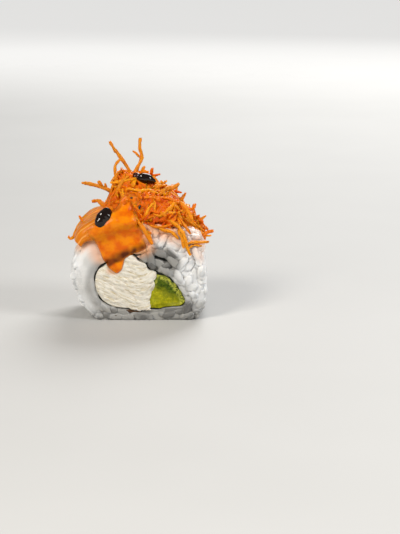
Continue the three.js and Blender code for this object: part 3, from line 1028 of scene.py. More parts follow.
def avocado_finish():
    """Buttery flesh, yellow-green inside, mottled dark green by the peel, pale at the torn rim."""
    # Oily flesh lets green and yellow light in a little and has a soft, moist shine.
    finish, tree, shader, skin_side, torn_rim = new_finish(
        "ripe_avocado", "skin_side", "torn_rim", Roughness=0.42, IOR=1.34,
        Specular_IOR_Level=0.35, Subsurface_Weight=0.3, Subsurface_Radius=(0.8, 1.0, 0.2),
        Subsurface_Scale=0.9 * MM)
    clouds, mottle = [
        add_node(tree, "ShaderNodeMapRange", {
            "Value": lumps(tree, size, detail=5, roughness=0.7), "From Min": 0.4,
            "From Max": 0.62}, "Result") for size in (0.9, 0.8)]
    peel = add_node(tree, "ShaderNodeMix", {
        "Factor": mottle, "A": linear("#1f3c00"), "B": linear("#5a6c00")}, "Result",
        data_type="RGBA")
    torn = add_node(tree, "ShaderNodeMath", {0: torn_rim, 1: mottle}, 0, operation="MULTIPLY")
    paint(tree, shader, "#8a8d02", [(clouds, "#b6ae0e"), (skin_side, peel), (torn, "#c2bf4a")],
          relief=lumps(tree, 0.5, detail=5, roughness=0.7), height=0.3, strength=0.9)
    return finish


avocado_rim = resampled(avocado_line, 0.4)
swell = 0.3 + 0.4 * soft_noise(np.insert(avocado_rim, 1, -FAR, axis=1), 1.2, 45)
swell += 0.25 * smooth_step(7, 9, avocado_rim[:, 0]) * smooth_step(5, 7, avocado_rim[:, 1])
avocado_wedge = layer("avocado_wedge", [avocado_rim + outward(avocado_rim) * swell[:, None]],
                      avocado_relief, avocado_finish(), spacing=0.35, slices=10,
                      wall=lambda ring: 0.1 * soft_noise(ring, 2, 44),
                      skin_side=skin_side, torn_rim=torn_rim)
serve(avocado_wedge, "avocado", "avocado")

# %% [markdown]
# ## Salmon
# The slice of salmon lies over the left shoulder with its cut edge to the front. Raw salmon is
# soft, moist and lets light in, thin pale lines of fat part its flakes, and here a coat of
# sauce deepens its orange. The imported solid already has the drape, so a copy of it is merged,
# rebuilt in even small squares and given shallow furrows along the fat lines and a slightly
# ragged edge.

# %% Salmon slice
FLAKE_WIDTH = 4.6  # mm from one line of fat to the next


def flake_place(points):
    """Each point's place across the flakes, in mm, measured on round the fold at the front."""
    x, y, z = points.T
    steps = np.arange(x.min(), x.max(), 0.8)
    highest = [z[np.abs(x - step) < 0.8].max() for step in steps]
    below = np.maximum(np.interp(x, steps, highest) - z - 0.8, 0) * (y < -12)
    return y - 1.4 * below + 0.8 * np.sin(x / 4.2) + 1.1 * soft_noise(points, 7, 51)


def salmon_finish():
    """Moist translucent orange flesh, glazed with sauce, with thin pale lines of fat."""
    # Raw flesh glows from inside, and the sauce on it gives wide wet highlights.
    finish, tree, shader, flake = new_finish(
        "sauced_salmon", "flake", Roughness=0.3, IOR=1.34, Specular_IOR_Level=0.4,
        Subsurface_Weight=0.4, Subsurface_Radius=(1.0, 0.4, 0.15), Subsurface_Scale=1.2 * MM)
    from_line = add_node(tree, "ShaderNodeMath", {0: flake, 1: FLAKE_WIDTH / 2}, 0,
                         operation="PINGPONG")
    fat = add_node(tree, "ShaderNodeMapRange", {
        "Value": from_line, "From Min": FLAKE_WIDTH * 0.34, "From Max": FLAKE_WIDTH * 0.5},
        "Result")
    paint(tree, shader, "#e48a12", [(lumps(tree, 1.4, detail=4), "#d06a04"), (fat, "#f0ac58")],
          relief=lumps(tree, 0.6, stretch=(2, 1, 1), detail=4), height=0.15, strength=0.6)
    return finish


points, faces, normals = even_squares(
    "salmon_squares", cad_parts["salmon"].data, square=0.42, rounds=4)
flake = flake_place(points)
furrow = smooth_step(0.36, 0.48, np.abs((flake / FLAKE_WIDTH) % 1 - 0.5))
ragged = smooth_step(30.0, 26.0, points[:, 2])[:, None]
points = points + normals * (0.1 * furrow - 0.1 + 0.3 * soft_noise(points, 2.4, 52))[:, None]
points[:, 2:] += ragged * 0.55 * soft_noise(points * (0.6, 1, 0), 1.6, 53)[:, None]
points[:, 0] += 0.8 * smooth_step(31, 26, points[:, 2]) * smooth_step(-16, -21, points[:, 0])
salmon_slice = new_piece("salmon_slice", points, faces, salmon_finish(), flake=flake)
serve(salmon_slice, "salmon", "salmon")

# %% [markdown]
# ## The heap's core
# The topping is a tangle of carrot strands, deep-fried until crisp and tossed in a warm orange
# sauce. Its inside can't be seen, so a smaller solid core fills it and gives the strands
# something to lie on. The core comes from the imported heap: rays from above measure its height on
# a grid, the strands that stand out of it are wiped away by taking each spot's neighbours into
# account, the rest is lowered a little, and two balls give it back its rounded peaks.

# %% Heights of the heap
HEAP_GRID = 0.8  # mm between the rays
CORE_DROP = 1.7  # mm that the core lies below the heap's top
EDGE_HEIGHT = 20.0  # mm, for the top where the rays meet nothing
NO_UNDERSIDE = 99.0  # mm, so high that a neighbour's underside is always lower
USUAL_UNDERSIDE = 24.0


def height_map(node, xs, ys):
    """The top and the underside of a node on a grid, in mm, with nan where there is nothing."""
    tree = BVHTree.FromObject(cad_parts[node], bpy.context.evaluated_depsgraph_get())
    tops = np.full((len(xs), len(ys)), np.nan)
    undersides = tops.copy()
    for i, x in enumerate(xs):
        for j, y in enumerate(ys):
            from_above = tree.ray_cast(Vector((x, y, 100)) * MM, Vector((0, 0, -1)))
            from_below = tree.ray_cast(Vector((x, y, -100)) * MM, Vector((0, 0, 1)))
            if from_above[0]:
                tops[i, j] = from_above[0].z / MM
                undersides[i, j] = from_below[0].z / MM
    return tops, undersides


def spread(grid, reach, pick):
    """Each cell replaced by the lowest or highest of the cells within reach."""
    padded = np.pad(grid, reach, mode="edge")
    windows = np.lib.stride_tricks.sliding_window_view(padded, (2 * reach + 1, 2 * reach + 1))
    return pick(windows, axis=(2, 3))


def averaged(grid, rounds):
    """Each cell replaced by the mean of itself and its eight neighbours, some rounds long."""
    for _ in range(rounds):
        padded = np.pad(grid, 1, mode="edge")
        windows = np.lib.stride_tricks.sliding_window_view(padded, (3, 3))
        grid = windows.mean(axis=(2, 3))
    return grid


heap_xs = np.arange(-26.4, 27.2, HEAP_GRID)
heap_ys = np.arange(-15.2, 15.6, HEAP_GRID)
tops, undersides = height_map("carrot_heap", heap_xs, heap_ys)
tops = np.nan_to_num(tops, nan=EDGE_HEIGHT)
tops = spread(spread(tops, 2, np.min), 2, np.max)
tops = averaged(tops, 2) - CORE_DROP
X, Y = np.meshgrid(heap_xs, heap_ys, indexing="ij")
bare_shoulder = smooth_step(11.5, 16, X) * smooth_step(0.5, -5, Y)
tops = tops - 9 * bare_shoulder - 4 * smooth_step(-8.5, -13, X)
undersides = averaged(spread(np.nan_to_num(undersides, nan=NO_UNDERSIDE), 1, np.min), 1)
undersides = np.where(undersides > 60, USUAL_UNDERSIDE, undersides) - 0.4
thick = tops > undersides + 0.4
print("the core covers", round(thick.sum() * HEAP_GRID ** 2), "square mm")


# %% A closed body between two heights
def closed_height_field(tops, undersides, solid):
    """Points and faces of a closed body between two height fields on the heap's grid."""
    cells = solid[:-1, :-1] & solid[1:, :-1] & solid[:-1, 1:] & solid[1:, 1:]
    index, points = {}, []

    def point(i, j, side):
        if (i, j, side) not in index:
            index[i, j, side] = len(points)
            height = tops[i, j] if side else undersides[i, j]
            points.append((heap_xs[i], heap_ys[j], height))
        return index[i, j, side]

    faces = []
    for i, j in np.argwhere(cells):
        ring = [(i, j), (i + 1, j), (i + 1, j + 1), (i, j + 1)]
        faces.append([point(*corner, 1) for corner in ring])
        faces.append([point(*corner, 0) for corner in reversed(ring)])
        beyond = [(i, j - 1), (i + 1, j), (i, j + 1), (i - 1, j)]
        for k, (a, b) in enumerate(beyond):
            within = 0 <= a < cells.shape[0] and 0 <= b < cells.shape[1] and cells[a, b]
            if not within:
                first, second = ring[k], ring[(k + 1) % 4]
                faces.append([point(*first, 0), point(*second, 0),
                              point(*second, 1), point(*first, 1)])
    return np.array(points), faces


# %% [markdown]
# ## Fried carrot
# Frying turns moist orange slivers crisp: they stay orange where oil and sauce wet them, and go
# golden-brown where they are thin and dry; deep between their neighbours a red-brown is painted
# as shade. A single orange would look like plastic, so each strand carries a tone of its own, which
# in the matted mass also carries painted shade in the middle of the heap and painted light on its
# right, and the shader reads how dry each spot is and how deep it lies.

# %% Fried finish and heap core
def fried_finish():
    """Deep-fried carrot: orange, golden-brown where dry, red-brown painted shade in gaps, oily in
    patches.
    """
    # Fried in oil: the flesh glows orange, and the blistered skin breaks its shine into patches.
    finish, tree, shader, tone, dry, hollow = new_finish(
        "fried_carrot", "tone", "dry", "hollow", IOR=1.34, Specular_IOR_Level=0.3,
        Subsurface_Weight=0.4, Subsurface_Radius=(1.0, 0.45, 0.04), Subsurface_Scale=0.9 * MM)
    blisters = lumps(tree, 0.55, detail=3, roughness=0.6)
    # Painted shade: the carrot is drawn red-brown where it lies deep between strands.
    darker, lighter, gap_shade, spots = [
        add_node(tree, "ShaderNodeMapRange", {
            "Value": value, "From Min": low, "From Max": high}, "Result")
        for value, low, high in [
            (tone, 0.4, 0.0), (tone, 0.5, 1.0), (hollow, 0.05, 0.8), (blisters, 0.58, 0.72)]]
    crisp = lumps(tree, 1.3, detail=4, roughness=0.65)
    # For the matted strands the tone also carries painted shade in the middle of the heap and
    # painted light on its right.
    paint(tree, shader, "#ea7c00", [
        (crisp, "#d25300"), (darker, "#c54b00"), (lighter, "#ef9a14"), (dry, "#d8871a"),
        (gap_shade, "#ac3600"), (spots, "#9c520c")],
        relief=lumps(tree, 0.4, detail=4, roughness=0.65), height=0.22, strength=0.9)
    wet = add_node(tree, "ShaderNodeMapRange", {
        "Value": lumps(tree, 2.2), "From Min": 0.4, "From Max": 0.6, "To Min": 0.2,
        "To Max": 0.5}, "Result")
    tree.links.new(wet, shader.inputs["Roughness"])
    return finish


fried_carrot = fried_finish()
points, faces = closed_height_field(tops, undersides, thick)
points[:, 2] += 0.5 * soft_noise(points, 2.2, 61)
body = new_piece("body", points, faces)
peaks = [ball("left_peak", (-4.0, -0.5, 42.5), (4.2, 4.6, 5.6)),
         ball("right_peak", (1.2, 0.2, 41.8), (4.2, 4.8, 5.6))]
points, faces, normals = even_squares(
    "core_squares", body.data, *[peak.data for peak in peaks], square=0.6, rounds=3)
heap_core = new_piece("heap_core", points, faces, tone=np.full(len(points), 0.3))
clear_away(body, *peaks)
print("heap core has", len(faces), "faces")

# %% [markdown]
# ## What the strands lie on
# Strands and sauce follow whatever lies under them: the heap's core, the salmon and the rice
# where the heap ends. Those shapes are merged into one outer skin, which is only a helper: the
# strands are drawn down to it.

# %% The ground under the topping
rice_block = layer("rice_block", [outer_line], lambda points: np.zeros(len(points)),
                   spacing=1.6, slices=10)
points, faces, normals = even_squares(
    "ground", rice_block.data, heap_core.data, salmon_slice.data, square=0.6, rounds=3)
ground = new_piece("ground", points, faces)
clear_away(rice_block)
print("ground has", len(faces), "faces")

# %% [markdown]
# ## The body of a strand
# A fried strand is a grated sliver of carrot, four-sided, that shrank and twisted in the hot oil:
# its width swells and shrinks, its skin is blistered and its ends are blunt. One tree gives that
# body to any path. It is used twice: inside the tree that strews strands over the heap, and for the
# few long strands whose paths can be told one by one in the photograph.

# %% The tree that gives paths a strand's body
def shaking(tree, place, size_mm, reach, detail=0.0):
    """A random push in all directions, up to about half of reach, with lumps size_mm wide."""
    noise = add_node(tree, "ShaderNodeTexNoise", {
        "Vector": place, "Scale": 1 / (size_mm * MM), "Detail": detail}, "Color")
    centred = add_node(tree, "ShaderNodeVectorMath", {0: noise, 1: (0.5, 0.5, 0.5)}, 0,
                       operation="SUBTRACT")
    return add_node(tree, "ShaderNodeVectorMath", {0: centred, "Scale": reach}, 0,
                    operation="SCALE")


def strand_body_tree():
    """Paths with a width at each point become solid, twisted and blistered strands."""
    tree, enter, leave = new_tree("strand_body", Blisters=0.6 * MM)
    place = add_node(tree, "GeometryNodeInputPosition", result=0)
    factor = add_node(tree, "GeometryNodeSplineParameter", result="Factor")
    across = add_node(tree, "ShaderNodeMath", {0: factor, 1: 2.0, 2: -1.0}, 0,
                      operation="MULTIPLY_ADD")
    from_middle = add_node(tree, "ShaderNodeMath", {0: across}, 0, operation="ABSOLUTE")
    taper = add_node(tree, "ShaderNodeMapRange", {
        "Value": from_middle, "From Min": 0.6, "From Max": 1.0, "To Min": 1.0, "To Max": 0.6},
        "Result")
    swell = add_node(tree, "ShaderNodeTexNoise", {
        "Vector": place, "Scale": 1 / (2.2 * MM), "Detail": 1.0}, "Fac")
    half = add_node(tree, "ShaderNodeMapRange", {
        "Value": swell, "From Min": 0.3, "From Max": 0.7, "To Min": 0.36, "To Max": 0.6},
        "Result")
    width = add_node(tree, "GeometryNodeInputNamedAttribute", {"Name": "width"}, "Attribute",
                     data_type="FLOAT")
    share = add_node(tree, "ShaderNodeMath", {0: taper, 1: half}, 0, operation="MULTIPLY")
    radius = add_node(tree, "ShaderNodeMath", {0: width, 1: share}, 0, operation="MULTIPLY")
    square = add_node(tree, "GeometryNodeCurvePrimitiveQuadrilateral", {
        "Width": 2.0, "Height": 1.45}, 0)
    section = add_node(tree, "GeometryNodeFilletCurve", {
        "Curve": square, "Radius": 0.4, "Count": 1}, 0, mode="POLY")
    twist = add_node(tree, "ShaderNodeTexNoise", {
        "Vector": place, "Scale": 1 / (9 * MM), "Detail": 0.0}, "Fac")
    tilt = add_node(tree, "ShaderNodeMath", {0: twist, 1: 16.0}, 0, operation="MULTIPLY")
    twisted = add_node(tree, "GeometryNodeSetCurveTilt", {
        "Curve": enter.outputs["Geometry"], "Tilt": tilt}, 0)
    body = add_node(tree, "GeometryNodeCurveToMesh", {
        "Curve": twisted, "Profile Curve": section, "Scale": radius, "Fill Caps": True}, 0)
    blistered = add_node(tree, "GeometryNodeSetPosition", {
        "Geometry": body,
        "Offset": shaking(tree, place, 1.1, enter.outputs["Blisters"], 1.0)}, 0)
    smooth = add_node(tree, "GeometryNodeSetShadeSmooth", {"Geometry": blistered}, 0)
    tree.links.new(smooth, leave.inputs[0])
    return tree


strand_body = strand_body_tree()
print(strand_body.name, "has", len(strand_body.nodes), "nodes")

# %% [markdown]
# ## Hundreds of strands over the heap
# This tree strews points evenly over the core, lays a straight path at each of them, bends the
# paths by a slow random push and draws them down to the ground, each to its own height, so that
# they cross over and under each other. One end of each may stand up. The same tree runs four
# times: long and short strands are merged with the core, because the sauce mats them together,
# and thinner loose ones and broken ends lie on top and make the outline bristle.

# %% Paths with random numbers of their own
def strewn_paths(tree, size):
    """Straight paths at even places on the core, with their random numbers stored."""
    crowded = 4e6  # places in a square metre, so many that only their spacing limits them
    place = add_node(tree, "GeometryNodeInputPosition", result=0)
    normal = add_node(tree, "GeometryNodeInputNormal", result=0)
    across = add_node(tree, "ShaderNodeSeparateXYZ", {"Vector": place}, "X")
    facing = add_node(tree, "ShaderNodeSeparateXYZ", {"Vector": normal}, "Z")
    upper = add_node(tree, "FunctionNodeCompare", {0: facing, 1: -0.15}, 0,
                     data_type="FLOAT", operation="GREATER_THAN")
    right = add_node(tree, "FunctionNodeCompare", {0: across, 1: -11.5 * MM}, 0,
                     data_type="FLOAT", operation="GREATER_THAN")
    wanted = add_node(tree, "FunctionNodeBooleanMath", {0: upper, 1: right}, 0, operation="AND")
    spots = add_node(tree, "GeometryNodeDistributePointsOnFaces", {
        "Mesh": size["Geometry"], "Selection": wanted, "Distance Min": size["Spacing"],
        "Density Max": crowded, "Seed": size["Seed"]}, distribute_method="POISSON").outputs
    ranges = {
        "turn": (0.0, 2 * math.pi), "lean": (-1.0, 0.0),
        "length": (size["Shortest"], size["Longest"]),
        "width": (size["Thinnest"], size["Thickest"]), "tone": (size["Darkest"], size["Palest"]),
        "lift": (size["Lowest"], size["Highest"]), "bold": (0.0, 1.0)}
    own = {}
    for step, (name, (low, high)) in enumerate(ranges.items(), start=1):
        own_seed = add_node(tree, "ShaderNodeMath", {0: size["Seed"], 1: float(step)}, 0,
                            operation="ADD")
        own[name] = add_node(tree, "FunctionNodeRandomValue", {
            "Min": low, "Max": high, "Seed": own_seed}, "Value", data_type="FLOAT")
    line = add_node(tree, "GeometryNodeCurvePrimitiveLine", {
        "Start": (-0.5, 0, 0), "End": (0.5, 0, 0)}, 0)
    path = add_node(tree, "GeometryNodeResampleCurve", {
        "Curve": line, "Count": size["Steps"]}, 0)
    lean = add_node(tree, "ShaderNodeMath", {0: own["lean"], 1: size["Lean"]}, 0,
                    operation="MULTIPLY")
    turn = add_node(tree, "ShaderNodeCombineXYZ", {"Y": lean, "Z": own["turn"]}, 0)
    by = add_node(tree, "FunctionNodeEulerToRotation", {"Euler": turn}, 0)
    rotation = add_node(tree, "FunctionNodeRotateRotation", {
        "Rotation": spots["Rotation"], "Rotate By": by}, 0, rotation_space="LOCAL")
    scale = add_node(tree, "ShaderNodeCombineXYZ", {"X": own["length"], "Y": 1.0, "Z": 1.0}, 0)
    copies = add_node(tree, "GeometryNodeInstanceOnPoints", {
        "Points": spots["Points"], "Instance": path, "Rotation": rotation, "Scale": scale}, 0)
    own["rise"] = add_node(tree, "ShaderNodeMath", {0: own["bold"], 1: 4.0}, 0,
                           operation="POWER")
    for name in ("width", "tone", "lift", "rise"):
        copies = add_node(tree, "GeometryNodeStoreNamedAttribute", {
            "Geometry": copies, "Name": name, "Value": own[name]}, 0,
            data_type="FLOAT", domain="INSTANCE")
    return add_node(tree, "GeometryNodeRealizeInstances", {"Geometry": copies}, 0)


# %% Places that stay bare
BARE_PLACES = [
    ((-30, -30, 10), (30, -13.9, 32)),   # the cut face
    ((-30, -30, 10), (30, -12.4, 31)),   # the rice just behind it
    ((12.5, -30, 10), (30, 1, 33.5)),    # the mound on the right shoulder
    ((-30, -30, 10), (-1, -5.5, 40)),    # where the orange sauce lies
    ((-1.8, -9, 44), (5.8, -2, 60)),     # where the top bead lies
    ((-30, -30, 38.5), (-9.6, 30, 60)),  # left of the peak
    ((-30, -30, 36), (-11.4, 30, 39)),   # above the salmon
    ((24.2, -30, 0), (60, 30, 80)),      # past the right side
    ((-60, -30, 0), (-24, 30, 80)),      # past the left side
    ((-60, 13.6, 0), (60, 40, 80)),      # past the back
    ((-60, -40, 0), (60, -15.6, 80))]    # past the front


def trimmed(tree, paths, place):
    """The paths without their points in the boxes, in mm, where no strands lie."""
    for low, high in BARE_PLACES:
        middle = tuple((a + b) / 2 * MM for a, b in zip(low, high))
        half = tuple((b - a) / 2 * MM for a, b in zip(low, high))
        from_middle = add_node(tree, "ShaderNodeVectorMath", {0: place, 1: middle}, 0,
                               operation="SUBTRACT")
        share = add_node(tree, "ShaderNodeVectorMath", {0: from_middle, 1: half}, 0,
                         operation="DIVIDE")
        size = add_node(tree, "ShaderNodeVectorMath", {0: share}, 0, operation="ABSOLUTE")
        parts = add_node(tree, "ShaderNodeSeparateXYZ", {"Vector": size}).outputs
        wider = add_node(tree, "ShaderNodeMath", {0: parts["X"], 1: parts["Y"]}, 0,
                         operation="MAXIMUM")
        widest = add_node(tree, "ShaderNodeMath", {0: wider, 1: parts["Z"]}, 0,
                          operation="MAXIMUM")
        within = add_node(tree, "FunctionNodeCompare", {0: widest, 1: 1.0}, 0,
                          data_type="FLOAT", operation="LESS_THAN")
        paths = add_node(tree, "GeometryNodeDeleteGeometry", {
            "Geometry": paths, "Selection": within}, 0, domain="POINT")
    return paths


# %% Paths drawn down to the ground
def laid_down(tree, size, paths):
    """The paths bent by a slow push, then drawn down to the ground to their own height."""
    place = add_node(tree, "GeometryNodeInputPosition", result=0)
    normal = add_node(tree, "GeometryNodeInputNormal", result=0)
    tone, lift, bold = [
        add_node(tree, "GeometryNodeInputNamedAttribute", {"Name": name}, "Attribute",
                 data_type="FLOAT") for name in ("tone", "lift", "rise")]
    drift = add_node(tree, "ShaderNodeVectorMath", {0: (0.05, 0.03, 0), "Scale": tone}, 0,
                     operation="SCALE")
    own_place = add_node(tree, "ShaderNodeVectorMath", {0: place, 1: drift}, 0, operation="ADD")
    bent = add_node(tree, "GeometryNodeSetPosition", {
        "Geometry": paths, "Offset": shaking(tree, own_place, 8.0, size["Wander"], 1.0)}, 0)
    below = add_node(tree, "GeometryNodeObjectInfo", {"Object": size["Ground"]}, "Geometry")
    nearest = add_node(tree, "GeometryNodeProximity", {"Geometry": below}, "Position",
                       target_element="FACES")
    away = add_node(tree, "GeometryNodeSampleNearestSurface", {
        "Mesh": below, "Value": normal}, "Value", data_type="FLOAT_VECTOR")
    held = add_node(tree, "ShaderNodeMix", {
        "Factor": size["Hold"], "A": place, "B": nearest}, "Result", data_type="VECTOR")
    factor = add_node(tree, "GeometryNodeSplineParameter", result="Factor")
    toward_end = add_node(tree, "ShaderNodeMapRange", {
        "Value": factor, "From Min": 0.45, "From Max": 1.0}, "Result")
    curl = add_node(tree, "ShaderNodeMath", {0: toward_end, 1: 1.6}, 0, operation="POWER")
    reach = add_node(tree, "ShaderNodeMath", {0: bold, 1: size["Rise"]}, 0,
                     operation="MULTIPLY")
    height = add_node(tree, "ShaderNodeMath", {0: curl, 1: reach, 2: lift}, 0,
                      operation="MULTIPLY_ADD")
    push = add_node(tree, "ShaderNodeVectorMath", {0: away, "Scale": height}, 0,
                    operation="SCALE")
    laid = add_node(tree, "GeometryNodeSetPosition", {
        "Geometry": bent, "Position": held, "Offset": push}, 0)
    return trimmed(tree, laid, place)


# %% The tree that strews strands
HEAP_BOX = [tuple(v * MM for v in corner) for corner in ((-25.5, -16.4, 22), (26.2, 14.8, 61))]


def strewn_strands_tree():
    """Strands with bodies, strewn over the core and laid on the ground, inside the heap's box."""
    tree, enter, leave = new_tree(
        "strewn_strands", Ground="Object", Finish="Material", Spacing=2.5 * MM, Shortest=10 * MM,
        Longest=30 * MM, Thinnest=1.0 * MM, Thickest=1.8 * MM, Steps=14, Lowest=0.0,
        Highest=1.5 * MM, Darkest=0.0, Palest=1.0, Rise=3 * MM, Lean=0.2, Wander=6 * MM,
        Hold=0.9, Blisters=0.6 * MM, Seed=1)
    size = enter.outputs
    laid = laid_down(tree, size, strewn_paths(tree, size))
    body = add_node(tree, "GeometryNodeGroup", {
        "Geometry": laid, "Blisters": size["Blisters"]}, 0, node_tree=strand_body)
    place = add_node(tree, "GeometryNodeInputPosition", result=0)
    above = add_node(tree, "ShaderNodeVectorMath", {0: place, 1: HEAP_BOX[0]}, 0,
                     operation="MAXIMUM")
    within = add_node(tree, "ShaderNodeVectorMath", {0: above, 1: HEAP_BOX[1]}, 0,
                      operation="MINIMUM")
    boxed = add_node(tree, "GeometryNodeSetPosition", {
        "Geometry": body, "Position": within}, 0)
    real = add_node(tree, "GeometryNodeRealizeInstances", {"Geometry": boxed}, 0)
    coated = add_node(tree, "GeometryNodeSetMaterial", {
        "Geometry": real, "Material": size["Finish"]}, 0)
    tree.links.new(coated, leave.inputs[0])
    return tree


strewn_strands = strewn_strands_tree()
print(strewn_strands.name, "has", len(strewn_strands.nodes), "nodes")

# %% Strands that mat together
PLAIN_INPUTS = ("Steps", "Lean", "Hold", "Darkest", "Palest", "Seed")  # all others are in mm


def strew(name, **sizes):
    """One kind of strand, strewn over the core. Lengths are given in mm."""
    inputs = {label: value if label in PLAIN_INPUTS else value * MM
              for label, value in sizes.items()}
    return run_tree(heap_core, strewn_strands, name, keep_source=True, Ground=ground,
                    Finish=fried_carrot, **inputs)


long_strands = strew(
    "long_strands", Spacing=2.2, Shortest=9, Longest=24, Thinnest=0.9, Thickest=1.5, Steps=16,
    Lowest=-0.2, Highest=1.1, Rise=2, Lean=0.1, Wander=9, Hold=0.95, Blisters=0.6,
    Darkest=0.15, Palest=0.85, Seed=3)
short_strands = strew(
    "short_strands", Spacing=1.6, Shortest=2.5, Longest=7, Thinnest=0.9, Thickest=1.5, Steps=7,
    Lowest=0.2, Highest=1.5, Rise=2, Lean=0.5, Wander=4, Hold=0.8, Blisters=0.8,
    Darkest=0.3, Seed=8)
points, faces, normals = even_squares(
    "mat_squares", heap_core.data, long_strands.data, short_strands.data, square=0.32, rounds=1)
tone = nearest_values(points, long_strands.data, "tone")
# Painted shade and painted light: strands in the middle of the heap are drawn darker, and those
# towards the right lighter.
shaded_middle = smooth_step(1.3, 0.7, np.hypot((points[:, 0] - 5) / 9, (points[:, 2] - 37) / 6))
tone = np.clip(tone - 0.4 * shaded_middle + 0.45 * smooth_step(9, 17, points[:, 0]), 0, 1)
matted_strands = new_piece(
    "matted_strands", points, faces, fried_carrot, tone=tone,
    hollow=hollows(points, faces, normals, 16))
clear_away(long_strands, short_strands)
serve(matted_strands, "fried_carrot", "carrot_heap")

# %% Strands that lie loose on the mat
loose_strands = strew(
    "loose_strands", Spacing=2.8, Shortest=7, Longest=17, Thinnest=0.7, Thickest=1.3, Steps=16,
    Lowest=0.7, Highest=2.0, Rise=4, Lean=0.15, Wander=7, Hold=0.95, Blisters=0.6,
    Darkest=0.45, Palest=1.0, Seed=14)
serve(loose_strands, "fried_carrot")
broken_ends = strew(
    "broken_ends", Spacing=2.8, Shortest=1.8, Longest=5, Thinnest=0.8, Thickest=1.4, Steps=6,
    Lowest=0.9, Highest=2.4, Rise=3, Lean=0.9, Wander=4, Hold=0.6, Blisters=0.9,
    Darkest=0.5, Seed=21)
serve(broken_ends, "fried_carrot")
clear_away(heap_core)

# %% [markdown]
# ## The strands that stand out
# A few long strands give the heap its spiky outline: two tall ones on top, one that points to
# each side, and some that lie down over the cut face. Each is written as a few places in
# millimetres from its free end to its root, with its width, and a smooth curve is drawn through
# them before the same tree gives it its body.

# %% Long strands one by one
# For each strand its width and then its path, all in mm.
STANDING_STRANDS = [
    (1.7, [(-9.8, -2, 59.9), (-8.6, -2, 57.6), (-6.4, -1, 54.5), (-2.7, 0, 48.7), (0, 1, 43)]),
    (1.5, [(-6.2, -3, 53.9), (-7.6, -3.5, 52.4), (-8.1, -4, 50), (-7.1, -4, 44), (-6, -3, 39)]),
    (1.7, [(0.4, 2, 60.6), (0.3, 2, 57), (0.9, 2, 53.6), (-1.1, 1, 49.2), (-3, 1, 43)]),
    (1.1, [(-2.2, 2, 56), (-1, 2, 55.2), (0.5, 2, 53.6)]),
    (1.3, [(2.0, 0, 51.0), (1.2, 0, 49.6), (1.8, 0, 46)]),
    (1.7, [(-20, 4, 44.6), (-17.6, 3, 44.5), (-13.7, 2, 43.6), (-10, 1, 42.4), (-5, 0, 40)]),
    (1.4, [(-14.2, 2, 45.6), (-12.6, 2, 43.6)]),
    (1.5, [(-11.8, 2, 44.8), (-11.2, 2, 42.6), (-8, 1, 41.2)]),
    (2.1, [(-16.5, 2, 38.3), (-14.4, 2, 38.7), (-12.2, 1, 37.4), (-8, 0, 37)]),
    (1.1, [(-20.6, -2, 34.2), (-19.8, -2, 32.6), (-18.2, -2, 30.6)]),
    (1.4, [(-25.2, 6, 25.3), (-24.4, 6, 24.5), (-23.2, 6, 25.2), (-22.4, 6, 27.4),
           (-20.9, 5, 30.4), (-18.6, 4, 33.4)]),
    (1.9, [(13.8, -2, 45.4), (12, -3, 44.2), (10, -4, 44), (6.4, -7, 42), (2.6, -10, 39.4)]),
    (1.5, [(9.6, -2, 44.7), (6.8, -4, 44.8), (4, -5, 43.4), (0.5, -6, 42)]),
    (1.7, [(8.6, -6, 43), (9.6, -7.4, 41), (11.6, -9.4, 36.8), (14.4, -12, 33)]),
    (1.6, [(7.9, -8.6, 39.4), (6.6, -10.4, 37.4), (4.4, -12, 34.6)]),
    (1.5, [(2.3, -11, 38), (2.2, -12.4, 36), (1.1, -13.8, 32.8)]),
    (1.9, [(-2.2, -12.6, 37), (-0.2, -14, 34.8), (2.1, -14.8, 31.7), (3.4, -15, 29.6),
           (4.9, -15.0, 26.6)]),
    (1.4, [(0.2, -14, 33.6), (2.6, -14.8, 30.9), (4.6, -14.9, 30.4)]),
    (1.7, [(10.4, -12.6, 34.6), (13.7, -13.6, 32.4), (15.6, -14.7, 29.4), (16.5, -15, 26),
           (17.8, -15, 22.8)]),
    (1.4, [(13.4, -14, 31.6), (15, -14.8, 28.4), (15.4, -15, 25.4)]),
    (1.3, [(16.2, -14.9, 26.2), (18, -14.6, 27.2), (20.5, -13, 27), (23.9, -10, 26.4)]),
    (1.1, [(17.2, -14.8, 25.2), (19.2, -14, 26.2), (21.5, -12, 25.4)]),
    (1.5, [(25.6, -4, 29.2), (23.4, -4, 28.6), (20.5, -5, 26.6), (18, -6, 29)]),
    (1.2, [(24.8, -3, 27.4), (22.6, -4, 27.6), (19.5, -4, 30)]),
    (1.4, [(5.4, -14, 33.2), (8.4, -14.6, 31.6), (11.5, -14.6, 30.6), (13.6, -14.4, 28.4)]),
    (1.3, [(3.2, -13.8, 34), (6, -14.4, 32.4), (8.6, -14.6, 32.6), (11, -13.8, 33)]),
    (1.5, [(12.4, -10, 37), (14.6, -11, 34), (17.8, -12.4, 29.8)]),
    (1.5, [(14.2, -6, 39.6), (16.4, -7, 37.4), (18.4, -8, 33.4)]),
    (1.4, [(-3.4, -5, 48.4), (-6, -6, 46), (-7.6, -7, 42)]),
    (1.4, [(16, 2, 41.4), (14.8, 1, 39.6), (12, 0, 39)]),
    (1.2, [(19.6, 0, 38), (18.2, 0, 36), (15.6, 0, 36)]),
]


